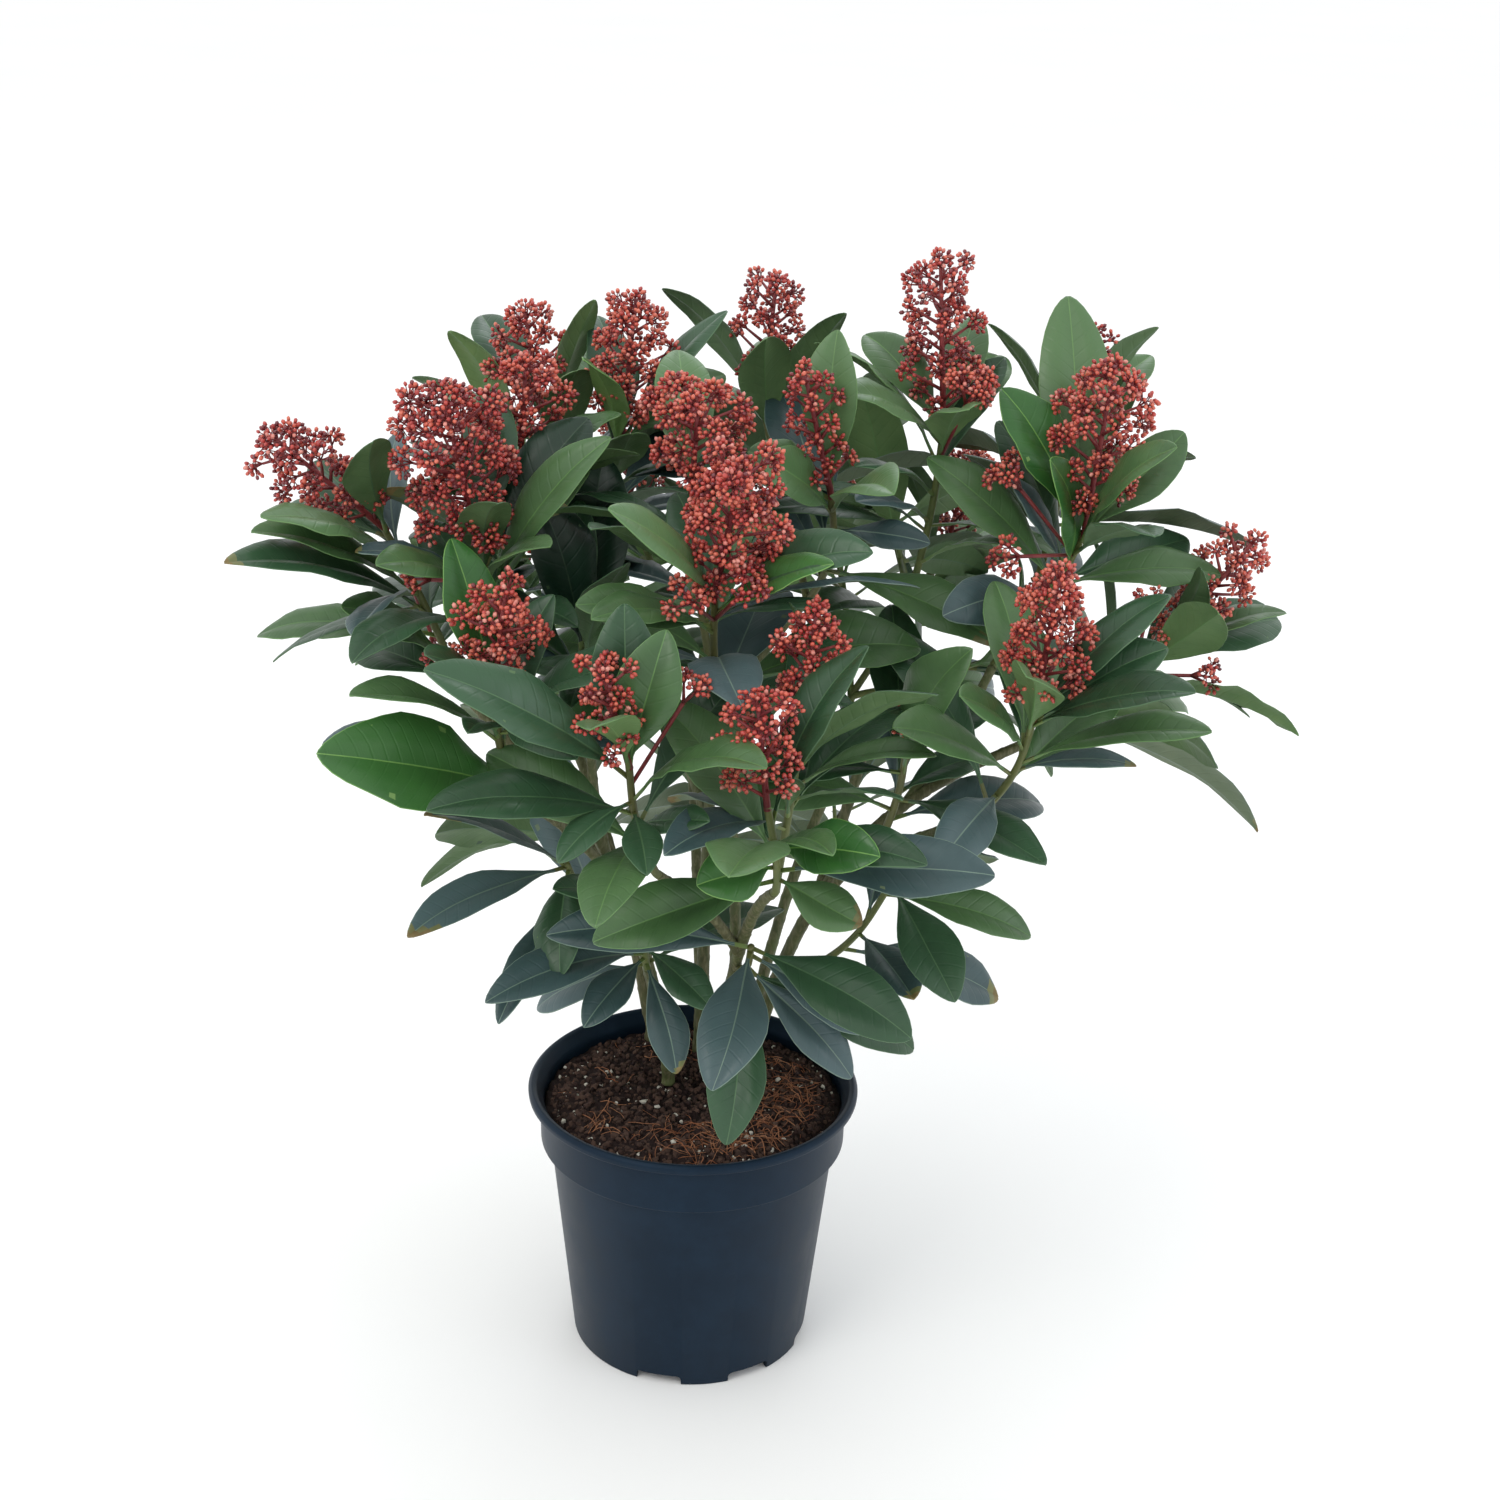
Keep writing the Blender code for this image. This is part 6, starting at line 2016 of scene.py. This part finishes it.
def lay_fibres(numbers):
    """Curved coir fibres, of which most have gathered at the rim, towards the right."""
    fibres = Batch()
    steps = np.linspace(-0.5, 0.5, FIBRE_JOINTS)
    for _ in range(FIBRES):
        length = numbers.uniform(*FIBRE_LENGTHS)
        reach = SOIL_EDGE - FIBRES_OFF_WALL - length / 2
        turn = numbers.normal(*FIBRE_TURNS)
        radius = reach * numbers.uniform(0.2, 1) ** 0.45
        heading = numbers.uniform(0, math.tau)
        headings = heading + numbers.uniform(*FIBRE_BENDS) * steps
        x = radius * math.cos(turn) + np.cumsum(np.cos(headings)) * length / FIBRE_JOINTS
        y = radius * math.sin(turn) + np.cumsum(np.sin(headings)) * length / FIBRE_JOINTS
        x, y = x - x.mean() + radius * math.cos(turn), y - y.mean() + radius * math.sin(turn)
        lift = FIBRE_LIFT + numbers.uniform(*FIBRE_ARCHES) * np.cos(math.pi * steps)
        line = np.stack([x, y, soil_height(x, y) + lift], axis=1)
        radii = np.full(FIBRE_JOINTS, FIBRE_RADIUS * numbers.uniform(*FIBRE_THICKNESSES))
        add_tube(fibres, line, radii, FIBRE_SIDES, 0)
    look = crumbly("coir fibre", COIR_TONES, 4, 0.75, Grain(0.5, 0.1, 0.9))
    return fibres.make("coir_fibres", [look])


def make_soil():
    """The potting soil: a lumpy peat body, and crumbs, perlite and coir fibres that lie on it."""
    numbers = np.random.default_rng(SOIL_SEED)
    peat = make_peat(numbers)
    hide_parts("potting_soil")
    crumb_look = crumbly("peat crumbs", CRUMB_TONES, 2.5, 0.9, Grain(0.4, 0.4, 0.9))
    perlite_look = crumbly("perlite grains", PERLITE_TONES, 1.2, 0.85, Grain(0.3, 0.3, 0.9))
    return [
        peat,
        scatter_grains(numbers, "soil_crumbs", CRUMBS, CRUMB_SIZES, crumb_look),
        scatter_grains(numbers, "perlite", PERLITE, PERLITE_SIZES, perlite_look),
        lay_fibres(numbers),
    ]


def make_leaves(grown):
    """One piece for each kind of leaf."""
    batches = {kind: Batch() for kind in LEAF_LOOKS}
    for number, (leaf, kind) in enumerate(grown):
        dice = random.Random(f"blade {number}")
        add_leaf(batches[kind], leaf, dice, dice.random() < LEAF_LOOKS[kind].dry_share)
    return [batch.make(f"leaves_{kind}", leaf_materials(kind)) for kind, batch in batches.items()]


def make_panicles(sprays):
    """The buds and the stalks of all panicles and sprays, in a few pieces each."""
    buds = {}
    stalks = {}
    bud_looks = [bud_skin(name, tones) for name, tones in BUD_LOOKS]
    stalk_looks = panicle_stalk()
    for name, shoot in SHOOTS.items():
        if shoot.bloom_width == 0:
            continue
        region = region_of(Vector(shoot.head))
        branches = bloom_branches(
            shoot,
            random.Random(f"{name} fine bloom"),
            FINE_BRANCH_PITCH,
            FINE_SPREADS,
            BUNCH_RADIUS,
            BUNCH_SIZES,
        )
        dice = random.Random(f"{name} buds")
        add_bunches(
            stalks.setdefault(region, Batch()),
            buds.setdefault(region, Batch()),
            branches,
            dice.choice(MOODS),
            dice,
        )
    for number, (spray, start) in enumerate(sprays):
        region = region_of(Vector(spray.centre))
        dice = random.Random(f"spray {number}")
        hub, branches = spray_branches(spray, start)
        line = [list(start.lerp(hub, part)) for part in (0.0, 0.5, 1.0)]
        add_tube(stalks[region], line, np.full(3, BRANCH_RADII[0]), BRANCH_SIDES, 0)
        add_bunches(stalks[region], buds[region], branches, dice.choice(MOODS), dice)
    made = [batch.make(f"buds_{region}", bud_looks) for region, batch in buds.items()]
    made += [batch.make(f"panicle_stalks_{region}", [stalk_looks]) for region, batch in stalks.items()]
    return made


def make_twigs(twigs):
    """Every leafy twig and the stalk that it becomes in its panicle."""
    batch = Batch()
    for name, twig in twigs.items():
        places, radii = smooth_run(twig, TWIG_STEP)
        add_tube(batch, places, radii, TWIG_SIDES, 0)
        shoot = SHOOTS[name]
        if shoot.bloom_width == 0:
            continue
        head, tip = Vector(shoot.head), Vector(shoot.tip)
        heading = (tip - head).normalized()
        line = [list(head.lerp(tip, part)) for part in PANICLE_STALK_AT]
        line[0] = list(head - heading * PANICLE_STALK_SUNK)
        radii = np.linspace(HEAD_RADIUS * PANICLE_STALK_FIT, BLOOM_TIP_RADIUS, len(line))
        add_tube(batch, line, radii, TWIG_SIDES, 1)
    return batch.make("twigs", [young_bark(), panicle_stalk()])


def make_bark(limbs):
    """All stems and boughs with their bark, in one piece."""
    batch = Batch()
    for name, limb in limbs.items():
        add_bark(batch, name, limb)
    bark = batch.make("stems_and_boughs", [old_bark()])
    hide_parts(*limbs)
    return bark


def make_floor():
    """A wide pale floor."""
    material, shader = new_material("pale matte floor")
    tone = mottled_tone(material, ("#F9F9F8", "#FCFCFB", "#FBFBFA"), 400)
    set_inputs(material, shader, {"Base Color": tone, "Roughness": 0.9})
    bpy.ops.mesh.primitive_plane_add(size=FLOOR_SIZE)
    floor = bpy.context.object
    floor.name = "floor"
    floor.data.materials.append(material)


def make_camera():
    """The camera, at the photograph's place and angle."""
    ahead = Vector(
        (
            math.sin(CAMERA_YAW) * math.cos(CAMERA_DOWN),
            math.cos(CAMERA_YAW) * math.cos(CAMERA_DOWN),
            -math.sin(CAMERA_DOWN),
        )
    )
    level = Vector((math.cos(CAMERA_YAW), -math.sin(CAMERA_YAW), 0.0))
    upward = level.cross(ahead)
    right = level * math.cos(CAMERA_ROLL) + upward * math.sin(CAMERA_ROLL)
    top = upward * math.cos(CAMERA_ROLL) - level * math.sin(CAMERA_ROLL)
    camera = bpy.data.objects.new("camera", bpy.data.cameras.new("camera"))
    camera.data.lens = CAMERA_LENS_MM
    camera.data.sensor_width = CAMERA_SENSOR_MM
    facing = Matrix((right, top, -ahead)).transposed().to_4x4()
    camera.matrix_world = Matrix.Translation(CAMERA_PLACE) @ facing
    bpy.context.scene.collection.objects.link(camera)
    bpy.context.scene.camera = camera


def make_light(name, place, size, power, colour):
    """A square soft light that looks at the middle of the plant."""
    light = bpy.data.lights.new(name, "AREA")
    light.size = size
    light.energy = power
    light.color = linear(colour)[:3]
    lamp = bpy.data.objects.new(name, light)
    lamp.location = place
    towards = Vector(LIT_PLACE) - lamp.location
    lamp.rotation_euler = towards.to_track_quat("-Z", "Y").to_euler()
    bpy.context.scene.collection.objects.link(lamp)


def make_studio():
    """Plain soft studio light: a bright pale room and wide lights on three sides."""
    world = bpy.data.worlds.new("pale room")
    world.use_nodes = True
    background = world.node_tree.nodes["Background"]
    background.inputs["Color"].default_value = linear("#FAFBFC")
    background.inputs["Strength"].default_value = ROOM_BRIGHTNESS
    bpy.context.scene.world = world
    bpy.context.scene.view_settings.view_transform = "Standard"
    for light in LIGHTS:
        make_light(*light)


make_camera()
make_studio()
make_floor()
limbs = plan_limbs()
twigs = plan_twigs(limbs)
crown, sprays = grow_crown(twigs)
grown = grow_leaves(crown, twigs)

pot = make_pot()
soil_pieces = make_soil()
bark = make_bark(limbs)
twig_piece = make_twigs(twigs)
leaf_pieces = make_leaves(grown)
bud_pieces = make_panicles(sprays)
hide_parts(*[name for name in frame["nodes"] if name.startswith("foliage_")])

for slot, pieces in (
    ("pot_plastic", [pot]),
    ("potting_soil", soil_pieces),
    ("bark", [bark]),
    ("foliage", [twig_piece, *leaf_pieces, *bud_pieces]),
):
    for piece in pieces:
        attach(piece, "root")
